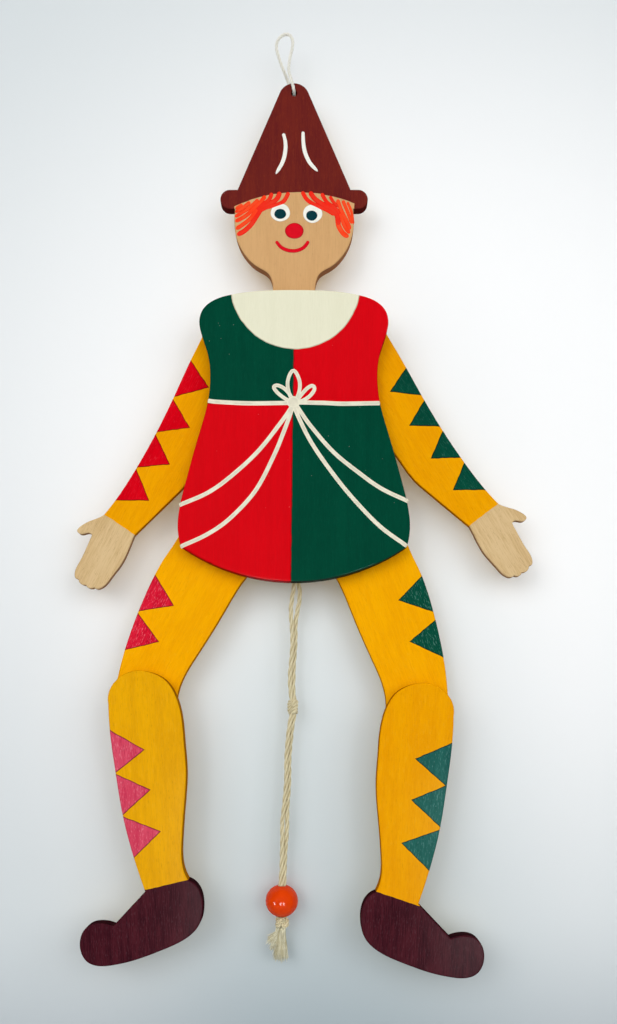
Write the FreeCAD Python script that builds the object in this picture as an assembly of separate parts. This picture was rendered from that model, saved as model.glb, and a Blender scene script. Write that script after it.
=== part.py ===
import FreeCAD, Part
import math
import os

# Jumping jack puppet: flat painted boards on wooden pegs, strings behind them, a pull cord with a bead
# and a loop to hang it by. Sizes are in millimetres. The origin is the nail in the top of the loop.
# X runs to the right as seen from the front, Y away from the viewer and Z up.
# Left and right are the viewer's. An outline's points are (outward or right, up) from its own anchor.

# Boards
torso_thickness = 8.0
head_thickness = 6.0
arm_thickness = 4.0
thigh_thickness = 6.0
shin_thickness = 8.0
edge_radius = 0.7
layer_gap = 0.3

# Places of the main pieces
centre_x = 3.85
hat_hole_drop = 30.2
torso_drop = 133.75
shoulder_spacing = 59.0
shoulder_below_torso_top = 15.55
hip_spacing = 50.0
hip_above_torso_bottom = 26.15
knee_outward = 49.0
knee_below_hip = 84.8
wrist_outward = 59.7
wrist_below_shoulder = 100.7
ankle_inward = 8.7
ankle_below_knee = 93.2

# How far each limb hangs further outward than its outline, in degrees
lean = {
    "arm_left": 0.0,
    "arm_right": 4.5,
    "thigh_left": 0.0,
    "thigh_right": -8.4,
    "shin_left": 0.0,
    "shin_right": 0.5,
}

# Torso outline
torso_height = 146.1
torso_shoulder_width = 94.8
torso_shoulder_level = 16.2
torso_waist_width = 83.8
torso_waist_level = 42.9
torso_hem_width = 116.4
torso_hem_height = 29.7
torso_corner_inset = 1.6
torso_corner_height = 17.5

# Head and hat outline, levels from the hole in the hat
hat_tip_width = 13.8
hat_tip_level = 1.5
hat_tip_height = 5.4
hat_base_width = 57.6
brim_width = 75.2
brim_top_level = 48.9
brim_height = 9.8
face_width = 60.8
face_level = 66.9
neck_width = 22.4
neck_level = 95.6
neck_lap = 16.0
face_lap = 2.1

# Limbs: their round ends, and one step of the grid that their outlines are drawn on
arm_end_radius = 14.0
thigh_end_radius = 17.0
outline_step = 1.0

# Pegs
peg_diameter = 6.0
peg_depth = 5.0
peg_head_diameter = 12.0
peg_head_height = 3.0
peg_head_round = 2.0
peg_glue_gap = 0.05
peg_running_gap = 0.1

# Cord, strings and their knots
cord_diameter = 2.0
string_hole_diameter = 2.6
knot_recess_diameter = 5.0
knot_recess_depth = 2.4
stopper_knot_diameter = 4.4
stopper_knot_height = 1.9
centre_knot_diameter = 5.6
centre_knot_height = 5.0
centre_knot_thickness = 2.6
cord_clearance = 0.4
string_end_gap = 1.7

# Where the strings hold the limbs, and how long they are from the hole to the centre knot
arm_string_radius = 10.0
arm_string_angle = 40.0
arm_string_length = 40.0
leg_string_radius = 13.0
leg_string_angle = 60.0
leg_string_length = 31.0

# Pull cord, bead and hanging loop
pull_cord_y = 6.0
strand_spacing = 2.1
middle_knot_drop = 342.8
middle_knot_x = -0.5
middle_knot_height = 6.6
middle_knot_diameter = 5.9
bead_drop = 443.4
bead_x = -6.5
bead_diameter = 16.8
bead_bore_diameter = 4.7
bead_bore_round = 0.5
end_knot_height = 5.6
end_knot_diameter = 7.4
knot_end_margin = 0.1
tassel_length = 16.0
hat_hole_diameter = 3.2
loop_knot_diameter = 5.2
loop_knot_height = 4.6

# Layers, from the front to the back
head_front = -head_thickness / 2
head_back = head_thickness / 2
torso_front = head_front - torso_thickness
shin_front = head_front - shin_thickness
limb_front = head_front + layer_gap
arm_back = limb_front + arm_thickness
thigh_back = limb_front + thigh_thickness
cord_radius = cord_diameter / 2
arm_string_y = arm_back + layer_gap + cord_radius
leg_string_y = arm_string_y + cord_radius + cord_clearance + centre_knot_thickness / 2

# Heights
neck_end_level = hat_hole_drop - torso_drop - neck_lap
shoulder_z = -torso_drop - shoulder_below_torso_top
hip_z = -torso_drop - torso_height + hip_above_torso_bottom

tolerance = 1e-6
left = -1
right = 1
sides = {"left": left, "right": right}
up = FreeCAD.Vector(0, 0, 1)
backward = FreeCAD.Vector(0, 1, 0)


def moved(points, dx, dz):
    """Outline points given from an anchor at (dx, dz)."""
    return [(x + dx, z + dz) for x, z in points]


def drawn(points, dx=0.0, dz=0.0):
    """Outline points in steps of the limbs' grid, from an anchor at (dx, dz)."""
    return [(x * outline_step + dx, z * outline_step + dz) for x, z in points]


def rim(radius, degrees):
    """A point on a circle about the anchor, counted from outward to up."""
    angle = math.radians(degrees)
    return (radius * math.cos(angle), radius * math.sin(angle))


def turned(point, degrees):
    """An (outward, up) point turned outward about its anchor."""
    angle = math.radians(degrees)
    outward = point[0] * math.cos(angle) - point[1] * math.sin(angle)
    upward = point[0] * math.sin(angle) + point[1] * math.cos(angle)
    return (outward, upward)


def placed(stretches, side, degrees, pivot):
    """A limb's outline, turned outward, put on its side and moved to its pivot."""
    result = []
    for stretch in stretches:
        points = [turned(point, degrees) for point in stretch]
        result.append([(pivot[0] + side * x, pivot[1] + z) for x, z in points])
    return result


def mirrored(points):
    """The same points on the other side of the centre line, in the other order."""
    return [(-x, z) for x, z in reversed(points)]


def outline_edges(stretches, y):
    """Edges of an outline: two points make a line, three an arc and more a smooth curve."""
    edges = []
    for stretch in stretches:
        points = [FreeCAD.Vector(x, y, z) for x, z in stretch]
        if len(points) == 2:
            edges.append(Part.makeLine(points[0], points[1]))
        elif len(points) == 3:
            edges.append(Part.Arc(points[0], points[1], points[2]).toShape())
        else:
            curve = Part.BSplineCurve()
            curve.interpolate(points)
            edges.append(curve.toShape())
    return edges


def board(stretches, front, thickness, sharp_levels=()):
    """A sawn board with its front and back edges rounded, but for level ones at given heights."""
    wire = Part.Wire(outline_edges(stretches, front))
    solid = Part.Face(wire).extrude(backward * thickness)
    rims = []
    for edge in solid.Edges:
        box = edge.BoundBox
        sharp = box.ZLength < tolerance and any(abs(box.ZMin - z) < tolerance for z in sharp_levels)
        if box.YLength < tolerance and not sharp:
            rims.append(edge)
    return solid.makeFillet(edge_radius, rims)


def hole(x, z, diameter, front, back):
    """A round tool from the front to the back, for a hole in a board."""
    return Part.makeCylinder(diameter / 2, back - front, FreeCAD.Vector(x, front, z), backward)


def peg(x, z, board_back, head_face):
    """A turned peg: its shank is glued in a board's back and its round head keeps a limb on."""
    start = FreeCAD.Vector(x, board_back - peg_depth, z)
    shank = Part.makeCylinder(peg_diameter / 2, head_face - start.y, start, backward)
    face = FreeCAD.Vector(x, head_face, z)
    head = Part.makeCylinder(peg_head_diameter / 2, peg_head_height, face, backward)
    end_y = head_face + peg_head_height
    end_rims = [edge for edge in head.Edges if abs(edge.BoundBox.YMin - end_y) < tolerance]
    head = head.makeFillet(peg_head_round, end_rims)
    return shank.fuse(head).removeSplitter()


def knot(centre, axis, height, middle_diameter, end_diameter):
    """A tied knot as a barrel along its cord, flat at both ends where the cord meets it."""
    middle = middle_diameter / 2
    end = end_diameter / 2
    half = height / 2
    low = FreeCAD.Vector(end, 0, -half)
    high = FreeCAD.Vector(end, 0, half)
    edges = [
        Part.Arc(low, FreeCAD.Vector(middle, 0, 0), high).toShape(),
        Part.makeLine(high, FreeCAD.Vector(0, 0, half)),
        Part.makeLine(FreeCAD.Vector(0, 0, half), FreeCAD.Vector(0, 0, -half)),
        Part.makeLine(FreeCAD.Vector(0, 0, -half), low),
    ]
    solid = Part.Face(Part.Wire(edges)).revolve(FreeCAD.Vector(0, 0, 0), up, 360)
    solid.Placement = FreeCAD.Placement(centre, FreeCAD.Rotation(up, axis))
    return solid


def cord(name, route):
    """A tube along straight runs joined by tangent arcs, each as large as its two runs allow."""
    points = [FreeCAD.Vector(*point) for point in route]
    edges = []
    radii = []
    start = points[0]
    for before, corner, after in zip(points, points[1:], points[2:]):
        run_in = corner - before
        run_out = after - corner
        half_turn = run_in.getAngle(run_out) / 2
        tangent = 0.45 * min(run_in.Length, run_out.Length)
        way_in = run_in.normalize()
        way_out = run_out.normalize()
        arc_start = corner - way_in * tangent
        arc_end = corner + way_out * tangent
        radius = tangent / math.tan(half_turn)
        inward = (way_out - way_in).normalize()
        apex = corner + inward * (radius / math.cos(half_turn) - radius)
        edges.append(Part.makeLine(start, arc_start))
        edges.append(Part.Arc(arc_start, apex, arc_end).toShape())
        radii.append(radius)
        start = arc_end
    edges.append(Part.makeLine(start, points[-1]))
    path = Part.Wire(edges)
    circle = Part.Circle(points[0], points[1] - points[0], cord_radius)
    section = Part.Wire([circle.toShape()])
    tube = path.makePipeShell([section], True, False)
    expected = math.pi * cord_radius ** 2 * path.Length
    print(name, "length", round(path.Length, 1), "volume over section times length",
          round(tube.Volume / expected, 4), "radii", [round(radius, 1) for radius in radii])
    return tube


def torso():
    """The trunk: round shoulders, a waist and a wide hem with a bowed lower edge."""
    shoulder = torso_shoulder_width / 2
    waist = torso_waist_width / 2
    hem = torso_hem_width / 2
    hem_level = torso_height - torso_hem_height
    corner = (hem - torso_corner_inset, torso_corner_height - torso_height)
    side = [
        (shoulder - 15.1, -2.5),
        (shoulder - 6.5, -5.5),
        (shoulder - 1.5, 6.0 - torso_shoulder_level),
        (shoulder, -torso_shoulder_level),
        (waist + 4.0, 19.7 - torso_waist_level),
        (waist + 1.2, 10.7 - torso_waist_level),
        (waist, -torso_waist_level),
        (waist + 1.1, -12.5 - torso_waist_level),
        (waist + 6.0, -30.5 - torso_waist_level),
        (hem - 4.4, 22.0 - hem_level),
        (hem - 1.0, 8.0 - hem_level),
        (hem, -hem_level),
        corner,
    ]
    upper = mirrored(side) + [(0, 0)] + side
    lower = [corner, (0, -torso_height), mirrored([corner])[0]]
    stretches = [moved(upper, centre_x, -torso_drop), moved(lower, centre_x, -torso_drop)]
    solid = board(stretches, torso_front, torso_thickness)
    for side_sign in sides.values():
        for spacing, z in ((shoulder_spacing, shoulder_z), (hip_spacing, hip_z)):
            x = centre_x + side_sign * spacing / 2
            blind = peg_diameter + 2 * peg_glue_gap
            solid = solid.cut(hole(x, z, blind, head_front - peg_depth, head_front))
    return solid


def hat_outline():
    """Pointed hat with a round tip, and a brim with round ends, from the hole in the hat."""
    tip = (hat_tip_width / 2, hat_tip_level)
    base = (hat_base_width / 2, -brim_top_level)
    brim_radius = brim_height / 2
    brim_x = brim_width / 2 - brim_radius
    brim_bottom = -brim_top_level - brim_height
    brim_end = [
        (brim_x, -brim_top_level),
        (brim_width / 2, -brim_top_level - brim_radius),
        (brim_x, brim_bottom),
    ]
    side = [[tip, base], [base, brim_end[0]], brim_end]
    crown = [mirrored([tip])[0], (0, hat_tip_height), tip]
    lower_edge = [brim_end[-1], (-brim_x, brim_bottom)]
    return [crown] + side + [lower_edge] + [mirrored(stretch) for stretch in reversed(side)]


def face_outline():
    """Round face and neck, from the hole in the hat; its top lies in the brim."""
    cheek = face_width / 2
    neck = neck_width / 2
    face_top = -brim_top_level - face_lap
    brim_bottom = -brim_top_level - brim_height
    side = [
        (cheek - 1.4, face_top),
        (cheek - 0.3, brim_bottom),
        (cheek, -face_level),
        (cheek - 1.7, -8.6 - face_level),
        (cheek - 6.0, -16.2 - face_level),
        (cheek - 12.2, -21.7 - face_level),
        (neck + 1.8, 3.6 - neck_level),
        (neck + 0.1, -neck_level),
        (neck, -9.9 - neck_level),
        (neck, neck_end_level),
    ]
    other_side = mirrored(side)
    return [side, [side[-1], other_side[0]], other_side, [other_side[-1], side[0]]]


def head():
    """Hat, face and neck sawn from one board; the neck is glued behind the torso."""
    hat = [moved(stretch, centre_x, -hat_hole_drop) for stretch in hat_outline()]
    face = [moved(stretch, centre_x, -hat_hole_drop) for stretch in face_outline()]
    levels = (-hat_hole_drop - brim_top_level - face_lap, -hat_hole_drop + neck_end_level)
    solid = board(hat, head_front, head_thickness)
    solid = solid.fuse(board(face, head_front, head_thickness, levels)).removeSplitter()
    return solid.cut(hole(centre_x, -hat_hole_drop, hat_hole_diameter, head_front, head_back))


def arm_outline():
    """Sleeve with a round shoulder end, and a hand with its thumb and fingers."""
    inner_start = rim(arm_end_radius, 186)
    outer_start = rim(arm_end_radius, 17)
    thumb = [(7.8, 5.3), (14.8, 2.2), (20.0, -0.8), (21.5, -2.9), (19.6, -4.7), (15.6, -4.1),
             (14.0, -5.1)]
    finger = [(14.0, -5.1), (16.2, -10.2), (20.0, -18.2), (22.8, -24.9), (22.5, -26.8),
              (20.8, -27.6)]
    middle_finger = [(20.8, -27.6), (19.6, -30.0), (16.9, -30.6)]
    ring_finger = [(16.9, -30.6), (15.3, -32.3), (12.8, -31.9)]
    palm = [(12.8, -31.9), (11.2, -32.7), (9.2, -32.2), (4.0, -26.8), (-1.0, -20.2),
            (-5.3, -11.4), (-7.8, -5.3)]
    hand = [drawn(stretch, wrist_outward, -wrist_below_shoulder)
            for stretch in (thumb, finger, middle_finger, ring_finger, palm)]
    cuff = drawn([(-8.7, 29.0), (2.0, 12.6)], wrist_outward, -wrist_below_shoulder)
    sleeve = drawn([(17.8, -5.5), (23.5, -17.1), (32.2, -36.0), (41.1, -54.1)])
    outer = [outer_start] + sleeve + cuff + [hand[0][0]]
    elbow = drawn([(-30.7, 17.0)], wrist_outward, -wrist_below_shoulder)[0]
    underarm = drawn([(22.6, -75.7), (18.1, -68.1), (5.8, -49.8), (-3.8, -32.0), (-10.5, -15.7)])
    inner = [elbow] + underarm + [inner_start]
    shoulder = [inner_start, (0, arm_end_radius), outer_start]
    return [shoulder, outer] + hand + [[hand[-1][-1], elbow], inner]


def thigh_outline():
    """Upper leg: a round hip end and a round end behind the knee."""
    inner_start = rim(thigh_end_radius, 182)
    outer_start = rim(thigh_end_radius, 88)
    hip = [inner_start, rim(thigh_end_radius, 135), outer_start]
    knee = drawn([(18.4, -1.4), (1.9, -17.4), (-13.9, -2.4)], knee_outward, -knee_below_hip)
    low_outer = drawn([(12.6, 24.1), (16.4, 8.8)], knee_outward, -knee_below_hip)
    low_inner = drawn([(-16.7, 8.8), (-24.2, 21.8)], knee_outward, -knee_below_hip)
    high_outer = drawn([(13.2, 14.6), (23.9, 9.8), (30.5, 3.4), (35.1, -4.0), (41.7, -13.9),
                        (46.3, -22.1), (54.5, -40.5)])
    high_inner = drawn([(11.2, -41.2), (0.3, -23.8), (-8.2, -13.9)])
    outer = [outer_start] + high_outer + low_outer + [knee[0]]
    inner = [knee[-1]] + low_inner + high_inner + [inner_start]
    return [hip, outer, knee, inner]


def shin_outline():
    """Lower leg with a round knee, and a shoe with a raised toe."""
    knee_inner = drawn([(19.0, -2.8), (16.8, 7.2), (11.2, 12.1), (4.2, 14.1), (-2.8, 13.0),
                        (-9.7, 9.1), (-14.5, 2.0), (-17.5, -8.2), (-18.9, -21.6), (-20.0, -37.9),
                        (-19.2, -52.2)])
    ankle_inner = drawn([(-9.1, 20.6), (-9.6, 9.4), (-12.2, 2.6)], -ankle_inward,
                        -ankle_below_knee)
    shoe = [(-12.2, 2.6), (-16.4, -0.2), (-19.2, -5.8), (-19.8, -11.3), (-18.4, -19.1),
            (-15.2, -23.8), (-9.9, -27.9), (1.2, -33.1), (16.8, -38.6), (25.2, -40.4),
            (32.4, -40.9), (38.1, -38.9), (41.2, -34.5), (42.0, -29.3), (40.2, -23.3),
            (36.5, -20.1), (32.3, -19.3), (28.2, -19.7), (25.1, -20.7)]
    shoe = drawn(shoe, -ankle_inward, -ankle_below_knee)
    instep = [shoe[-1]] + drawn([(9.2, -3.6)], -ankle_inward, -ankle_below_knee)
    outer = [instep[-1]] + drawn([(14.9, 13.4)], -ankle_inward, -ankle_below_knee)
    outer += drawn([(11.7, -58.8), (15.4, -36.9), (18.2, -16.2), (19.0, -2.8)])
    return [knee_inner + ankle_inner, shoe, instep, outer]


def limb_hole(pivot, side, radius, angle):
    """Where a string holds a limb: on a circle about its peg, above it and towards the centre."""
    offset = rim(radius, 180 - angle)
    return (pivot[0] + side * offset[0], pivot[1] + offset[1])


def centre_knot_place(pivot, radius, angle, length, y):
    """The two strings of a pair meet in the middle, as far down as their length lets them."""
    x, z = limb_hole(pivot, right, radius, angle)
    return FreeCAD.Vector(centre_x, y, z - math.sqrt(length ** 2 - (x - centre_x) ** 2))


def strung_limb(outline, degrees, pivot, side, thickness, string_at):
    """A board with the bore for its peg and a recessed hole for its string."""
    back = limb_front + thickness
    solid = board(placed(outline, side, degrees, pivot), limb_front, thickness)
    bore = peg_diameter + 2 * peg_running_gap
    recess_floor = limb_front + knot_recess_depth
    cutters = [
        hole(pivot[0], pivot[1], bore, limb_front, back),
        hole(string_at[0], string_at[1], string_hole_diameter, limb_front, back),
        hole(string_at[0], string_at[1], knot_recess_diameter, limb_front, recess_floor),
    ]
    return solid.cut(cutters)


def stopper_knot(string_at):
    """The knot that keeps a string's end in the recess on a limb's front."""
    floor = limb_front + knot_recess_depth
    centre = FreeCAD.Vector(string_at[0], floor - stopper_knot_height / 2, string_at[1])
    end = cord_diameter + 2 * knot_end_margin
    return knot(centre, backward, stopper_knot_height, stopper_knot_diameter, end)


def limb_string(name, string_at, knot_place):
    """From the stopper knot back through the limb, then tight towards the centre knot."""
    start = FreeCAD.Vector(string_at[0], limb_front + knot_recess_depth, string_at[1])
    corner = FreeCAD.Vector(string_at[0], knot_place.y, string_at[1])
    way = (knot_place - corner).normalize()
    end = knot_place - way * (centre_knot_diameter / 2 + string_end_gap)
    return cord(name, [start, corner, end])


def centre_knot(place):
    """The knot of a pair of strings with the pull cord, pressed flat."""
    end = cord_diameter + 2 * knot_end_margin
    solid = knot(place, up, centre_knot_height, centre_knot_diameter, end)
    low = FreeCAD.Vector(place.x - centre_knot_diameter, place.y - centre_knot_thickness / 2,
                         place.z - centre_knot_height)
    slab = Part.makeBox(2 * centre_knot_diameter, centre_knot_thickness, 2 * centre_knot_height, low)
    return solid.common(slab)


def strand(name, start, route, end):
    """One strand of the pull cord: points from the centre line, at shares of the way down."""
    points = [start]
    for x, y, share in route:
        points.append((centre_x + x, y, start[2] + share * (end[2] - start[2])))
    return cord(name, points + [end])


def bead(x, z):
    """A turned ball with a bore for the two strands."""
    centre = FreeCAD.Vector(x, pull_cord_y, z)
    ball = Part.makeSphere(bead_diameter / 2, centre)
    low = centre - up * bead_diameter
    bore = Part.makeCylinder(bead_bore_diameter / 2, 2 * bead_diameter, low, up)
    solid = ball.cut(bore)
    mouths = [edge for edge in solid.Edges
              if edge.BoundBox.ZLength < tolerance and edge.Length > bead_bore_diameter]
    return solid.makeFillet(bead_bore_round, mouths)


def tassel(x, top):
    """The frayed cord ends under the last knot, fanned out to the left."""
    levels = [(0.0, 0.0, 2.7, 1.9), (0.3, -1.2, 4.0, 2.1), (0.75, -1.5, 4.9, 2.0),
              (1.0, -0.6, 3.7, 1.5)]
    sections = []
    for share, shift, half_width, half_depth in levels:
        centre = FreeCAD.Vector(x + shift, pull_cord_y, top - share * tassel_length)
        side_end = centre + FreeCAD.Vector(half_width, 0, 0)
        back_end = centre + backward * half_depth
        ellipse = Part.Ellipse(side_end, back_end, centre)
        sections.append(Part.Wire([ellipse.toShape()]))
    return Part.makeLoft(sections, True, False)


def hanging_loop():
    """One cord from the knot, through the hat's hole to its front, over the nail and down the back."""
    hole_z = -hat_hole_drop
    front = head_front - cord_radius
    knot_y = loop_knot_y()
    route = [
        (centre_x, knot_y - loop_knot_flat(), hole_z),
        (centre_x, front - 0.2, hole_z),
        (centre_x - 0.4, front - 0.3, hole_z + 2.6),
        (centre_x - 1.7, front - 0.3, hole_z + 7.2),
        (centre_x - 2.9, front + 1.4, hole_z + 11.7),
        (centre_x - 2.2, -0.9, -11.0),
        (centre_x - 0.2, 0.0, -3.2),
        (centre_x - 2.0, 0.1, 1.15),
        (centre_x - 6.4, 0.2, 0.85),
        (centre_x - 9.8, 0.4, -3.9),
        (centre_x - 7.2, 1.2, -11.8),
        (centre_x - 4.4, 2.6, -17.5),
        (centre_x - 2.2, knot_y - 0.9, hole_z + 8.6),
        (centre_x, knot_y, hole_z + 5.0),
        (centre_x, knot_y, hole_z + loop_knot_height / 2),
    ]
    return cord("hanging_loop", route)


def loop_knot_flat():
    """How far the loop knot's flat front lies from its middle."""
    return 0.85 * loop_knot_diameter / 2


def loop_knot_y():
    """The loop knot sits behind the hat's hole, close to the board."""
    return head_back + layer_gap + loop_knot_flat()


def hanging_loop_knot():
    """The knot of the loop's two ends, flat where it lies on the board."""
    centre = FreeCAD.Vector(centre_x, loop_knot_y(), -hat_hole_drop)
    end = cord_diameter + 2 * knot_end_margin
    solid = knot(centre, up, loop_knot_height, loop_knot_diameter, end)
    reach = loop_knot_diameter
    low = FreeCAD.Vector(centre_x - reach, centre.y - loop_knot_flat(), centre.z - reach)
    return solid.common(Part.makeBox(2 * reach, 2 * reach, 2 * reach, low))


def limbs(parts):
    """Both arms and legs with their pegs, strings and stopper knots."""
    for name, side in sides.items():
        shoulder = (centre_x + side * shoulder_spacing / 2, shoulder_z)
        hip = (centre_x + side * hip_spacing / 2, hip_z)
        knee_way = turned((knee_outward, -knee_below_hip), lean["thigh_" + name])
        knee = (hip[0] + side * knee_way[0], hip[1] + knee_way[1])
        arm_hole = limb_hole(shoulder, side, arm_string_radius, arm_string_angle)
        leg_hole = limb_hole(hip, side, leg_string_radius, leg_string_angle)

        parts["arm_" + name] = strung_limb(
            arm_outline(), lean["arm_" + name], shoulder, side, arm_thickness, arm_hole)
        thigh = strung_limb(
            thigh_outline(), lean["thigh_" + name], hip, side, thigh_thickness, leg_hole)
        bore = peg_diameter + 2 * peg_running_gap
        parts["thigh_" + name] = thigh.cut(hole(knee[0], knee[1], bore, limb_front, thigh_back))
        shin = board(placed(shin_outline(), side, lean["shin_" + name], knee), shin_front,
                     shin_thickness)
        blind = peg_diameter + 2 * peg_glue_gap
        parts["shin_" + name] = shin.cut(
            hole(knee[0], knee[1], blind, head_front - peg_depth, head_front))

        parts["shoulder_peg_" + name] = peg(*shoulder, head_front, arm_back + layer_gap)
        parts["hip_peg_" + name] = peg(*hip, head_front, thigh_back + layer_gap)
        parts["knee_peg_" + name] = peg(*knee, head_front, thigh_back + layer_gap)
        parts["arm_stopper_knot_" + name] = stopper_knot(arm_hole)
        parts["leg_stopper_knot_" + name] = stopper_knot(leg_hole)
        parts["arm_string_" + name] = limb_string("arm_string_" + name, arm_hole, arm_knot_place())
        parts["leg_string_" + name] = limb_string("leg_string_" + name, leg_hole, leg_knot_place())


def arm_knot_place():
    """Middle of the knot that joins the arm strings to the pull cord."""
    shoulder = (centre_x + shoulder_spacing / 2, shoulder_z)
    return centre_knot_place(shoulder, arm_string_radius, arm_string_angle, arm_string_length,
                             arm_string_y)


def leg_knot_place():
    """Middle of the knot that joins the leg strings to the pull cord."""
    hip = (centre_x + hip_spacing / 2, hip_z)
    return centre_knot_place(hip, leg_string_radius, leg_string_angle, leg_string_length,
                             leg_string_y)


def pull_cord(parts):
    """Two strands from the centre knots, knotted together, through the bead to the last knot."""
    arm_knot = arm_knot_place()
    leg_knot = leg_knot_place()
    parts["arm_string_centre_knot"] = centre_knot(arm_knot)
    parts["leg_string_centre_knot"] = centre_knot(leg_knot)

    middle_x = centre_x + middle_knot_x
    middle_top = -middle_knot_drop + middle_knot_height / 2
    middle_bottom = -middle_knot_drop - middle_knot_height / 2
    half = strand_spacing / 2
    arm_route = [
        (0.3, arm_string_y, 0.19),
        (0.9, arm_string_y, 0.41),
        (1.6, arm_string_y + 0.3, 0.605),
        (-1.0, 4.0, 0.7),
        (-1.7, 5.0, 0.805),
        (-1.9, 5.8, 0.89),
        (middle_knot_x - half, pull_cord_y, 0.96),
    ]
    leg_route = [
        (0.0, leg_string_y, 0.065),
        (1.5, leg_string_y, 0.17),
        (3.0, leg_string_y + 0.2, 0.29),
        (1.2, 5.8, 0.52),
        (0.4, pull_cord_y, 0.75),
        (middle_knot_x + half, pull_cord_y, 0.905),
    ]
    down = up * (-centre_knot_height / 2)
    parts["pull_cord_arm_strand"] = strand(
        "pull_cord_arm_strand", arm_knot + down, arm_route,
        (middle_x - half, pull_cord_y, middle_top))
    parts["pull_cord_leg_strand"] = strand(
        "pull_cord_leg_strand", leg_knot + down, leg_route,
        (middle_x + half, pull_cord_y, middle_top))
    two_strands = strand_spacing + cord_diameter + 2 * knot_end_margin
    middle = FreeCAD.Vector(middle_x, pull_cord_y, -middle_knot_drop)
    parts["pull_cord_middle_knot"] = knot(
        middle, up, middle_knot_height, middle_knot_diameter, two_strands)

    bead_centre_x = centre_x + bead_x
    bead_bottom = -bead_drop - bead_diameter / 2
    end_top = bead_bottom - knot_end_margin
    lower_arm_route = [
        (middle_knot_x - half, pull_cord_y, 0.033),
        (-3.0, pull_cord_y, 0.077),
        (-3.4, pull_cord_y, 0.16),
        (-4.1, pull_cord_y, 0.29),
        (-5.3, pull_cord_y, 0.425),
        (-6.4, pull_cord_y, 0.555),
        (-7.0, pull_cord_y, 0.695),
        (bead_x - half, pull_cord_y, 0.845),
    ]
    lower_leg_route = [
        (middle_knot_x + half, pull_cord_y, 0.033),
        (-0.8, pull_cord_y, 0.075),
        (-1.3, pull_cord_y, 0.156),
        (-1.9, pull_cord_y, 0.29),
        (-3.1, pull_cord_y, 0.425),
        (-3.7, pull_cord_y, 0.56),
        (-4.8, pull_cord_y, 0.7),
        (bead_x + half, pull_cord_y, 0.845),
    ]
    parts["pull_cord_lower_arm_strand"] = strand(
        "pull_cord_lower_arm_strand", (middle_x - half, pull_cord_y, middle_bottom),
        lower_arm_route, (bead_centre_x - half, pull_cord_y, end_top))
    parts["pull_cord_lower_leg_strand"] = strand(
        "pull_cord_lower_leg_strand", (middle_x + half, pull_cord_y, middle_bottom),
        lower_leg_route, (bead_centre_x + half, pull_cord_y, end_top))
    parts["pull_bead"] = bead(bead_centre_x, -bead_drop)
    end_centre = FreeCAD.Vector(bead_centre_x, pull_cord_y, end_top - end_knot_height / 2)
    parts["pull_cord_end_knot"] = knot(
        end_centre, up, end_knot_height, end_knot_diameter, two_strands)
    parts["pull_cord_tassel"] = tassel(bead_centre_x, end_top - end_knot_height)


def main():
    """Make every piece and write one file for each."""
    os.makedirs("parts", exist_ok=True)
    parts = {"torso_board": torso(), "head_hat_board": head()}
    limbs(parts)
    pull_cord(parts)
    parts["hanging_loop"] = hanging_loop()
    parts["hanging_loop_knot"] = hanging_loop_knot()
    for name, shape in parts.items():
        solids = shape.Solids
        print(name, "solids", len(solids), "valid", shape.isValid(), "volume", round(shape.Volume, 1))
        shape.exportStep("parts/" + name + ".step")


main()
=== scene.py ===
"""Looks of a jumping jack puppet: sawn and painted boards, tied strings and a beaded pull cord.

Sizes in the classes are millimetres in the frame of the CAD model: X runs to the right, Y away
from the viewer and Z up, from the nail in the hanging loop. Meshes are written in metres.
"""

import logging
import math
from dataclasses import dataclass, field
from enum import Enum
from typing import Any, Union

import bpy
import numpy as np
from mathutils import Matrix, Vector


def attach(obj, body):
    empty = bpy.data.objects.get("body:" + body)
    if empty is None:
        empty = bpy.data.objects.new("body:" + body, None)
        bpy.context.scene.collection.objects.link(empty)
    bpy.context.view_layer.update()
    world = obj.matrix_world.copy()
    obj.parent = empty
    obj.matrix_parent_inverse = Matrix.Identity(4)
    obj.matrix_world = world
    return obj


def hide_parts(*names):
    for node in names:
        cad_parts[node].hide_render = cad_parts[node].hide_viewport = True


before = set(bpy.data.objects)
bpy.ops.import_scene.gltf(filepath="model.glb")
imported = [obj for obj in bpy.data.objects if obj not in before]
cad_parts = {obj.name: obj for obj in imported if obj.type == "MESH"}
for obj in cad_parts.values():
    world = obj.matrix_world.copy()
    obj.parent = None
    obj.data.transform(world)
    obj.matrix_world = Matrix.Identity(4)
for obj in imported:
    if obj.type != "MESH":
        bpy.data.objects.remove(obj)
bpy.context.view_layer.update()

logging.basicConfig(level=logging.INFO, format="%(message)s")
log = logging.getLogger("puppet")

MM = 0.001

Socket = bpy.types.NodeSocket
Tree = bpy.types.NodeTree
Point = tuple[float, float]
Point3 = tuple[float, float, float]
Triangle = tuple[Point, Point, Point]
Route = tuple[Point3, ...]
Given = Union[Socket, float, int, tuple]


class Side(Enum):
    """A limb's side as the viewer sees it."""

    LEFT = "left"
    RIGHT = "right"


# ---------------------------------------------------------------- materials


def linear(hex_code: str) -> tuple[float, float, float, float]:
    """Turn an sRGB colour into linear light.

    Args:
        hex_code: Six hex digits, with or without a leading number sign.

    Returns:
        Red, green, blue and an alpha of one.
    """
    digits = hex_code.lstrip("#")
    shares = [int(digits[i : i + 2], 16) / 255 for i in (0, 2, 4)]
    lit = [s / 12.92 if s <= 0.04045 else ((s + 0.055) / 1.055) ** 2.4 for s in shares]
    return (lit[0], lit[1], lit[2], 1.0)


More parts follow.
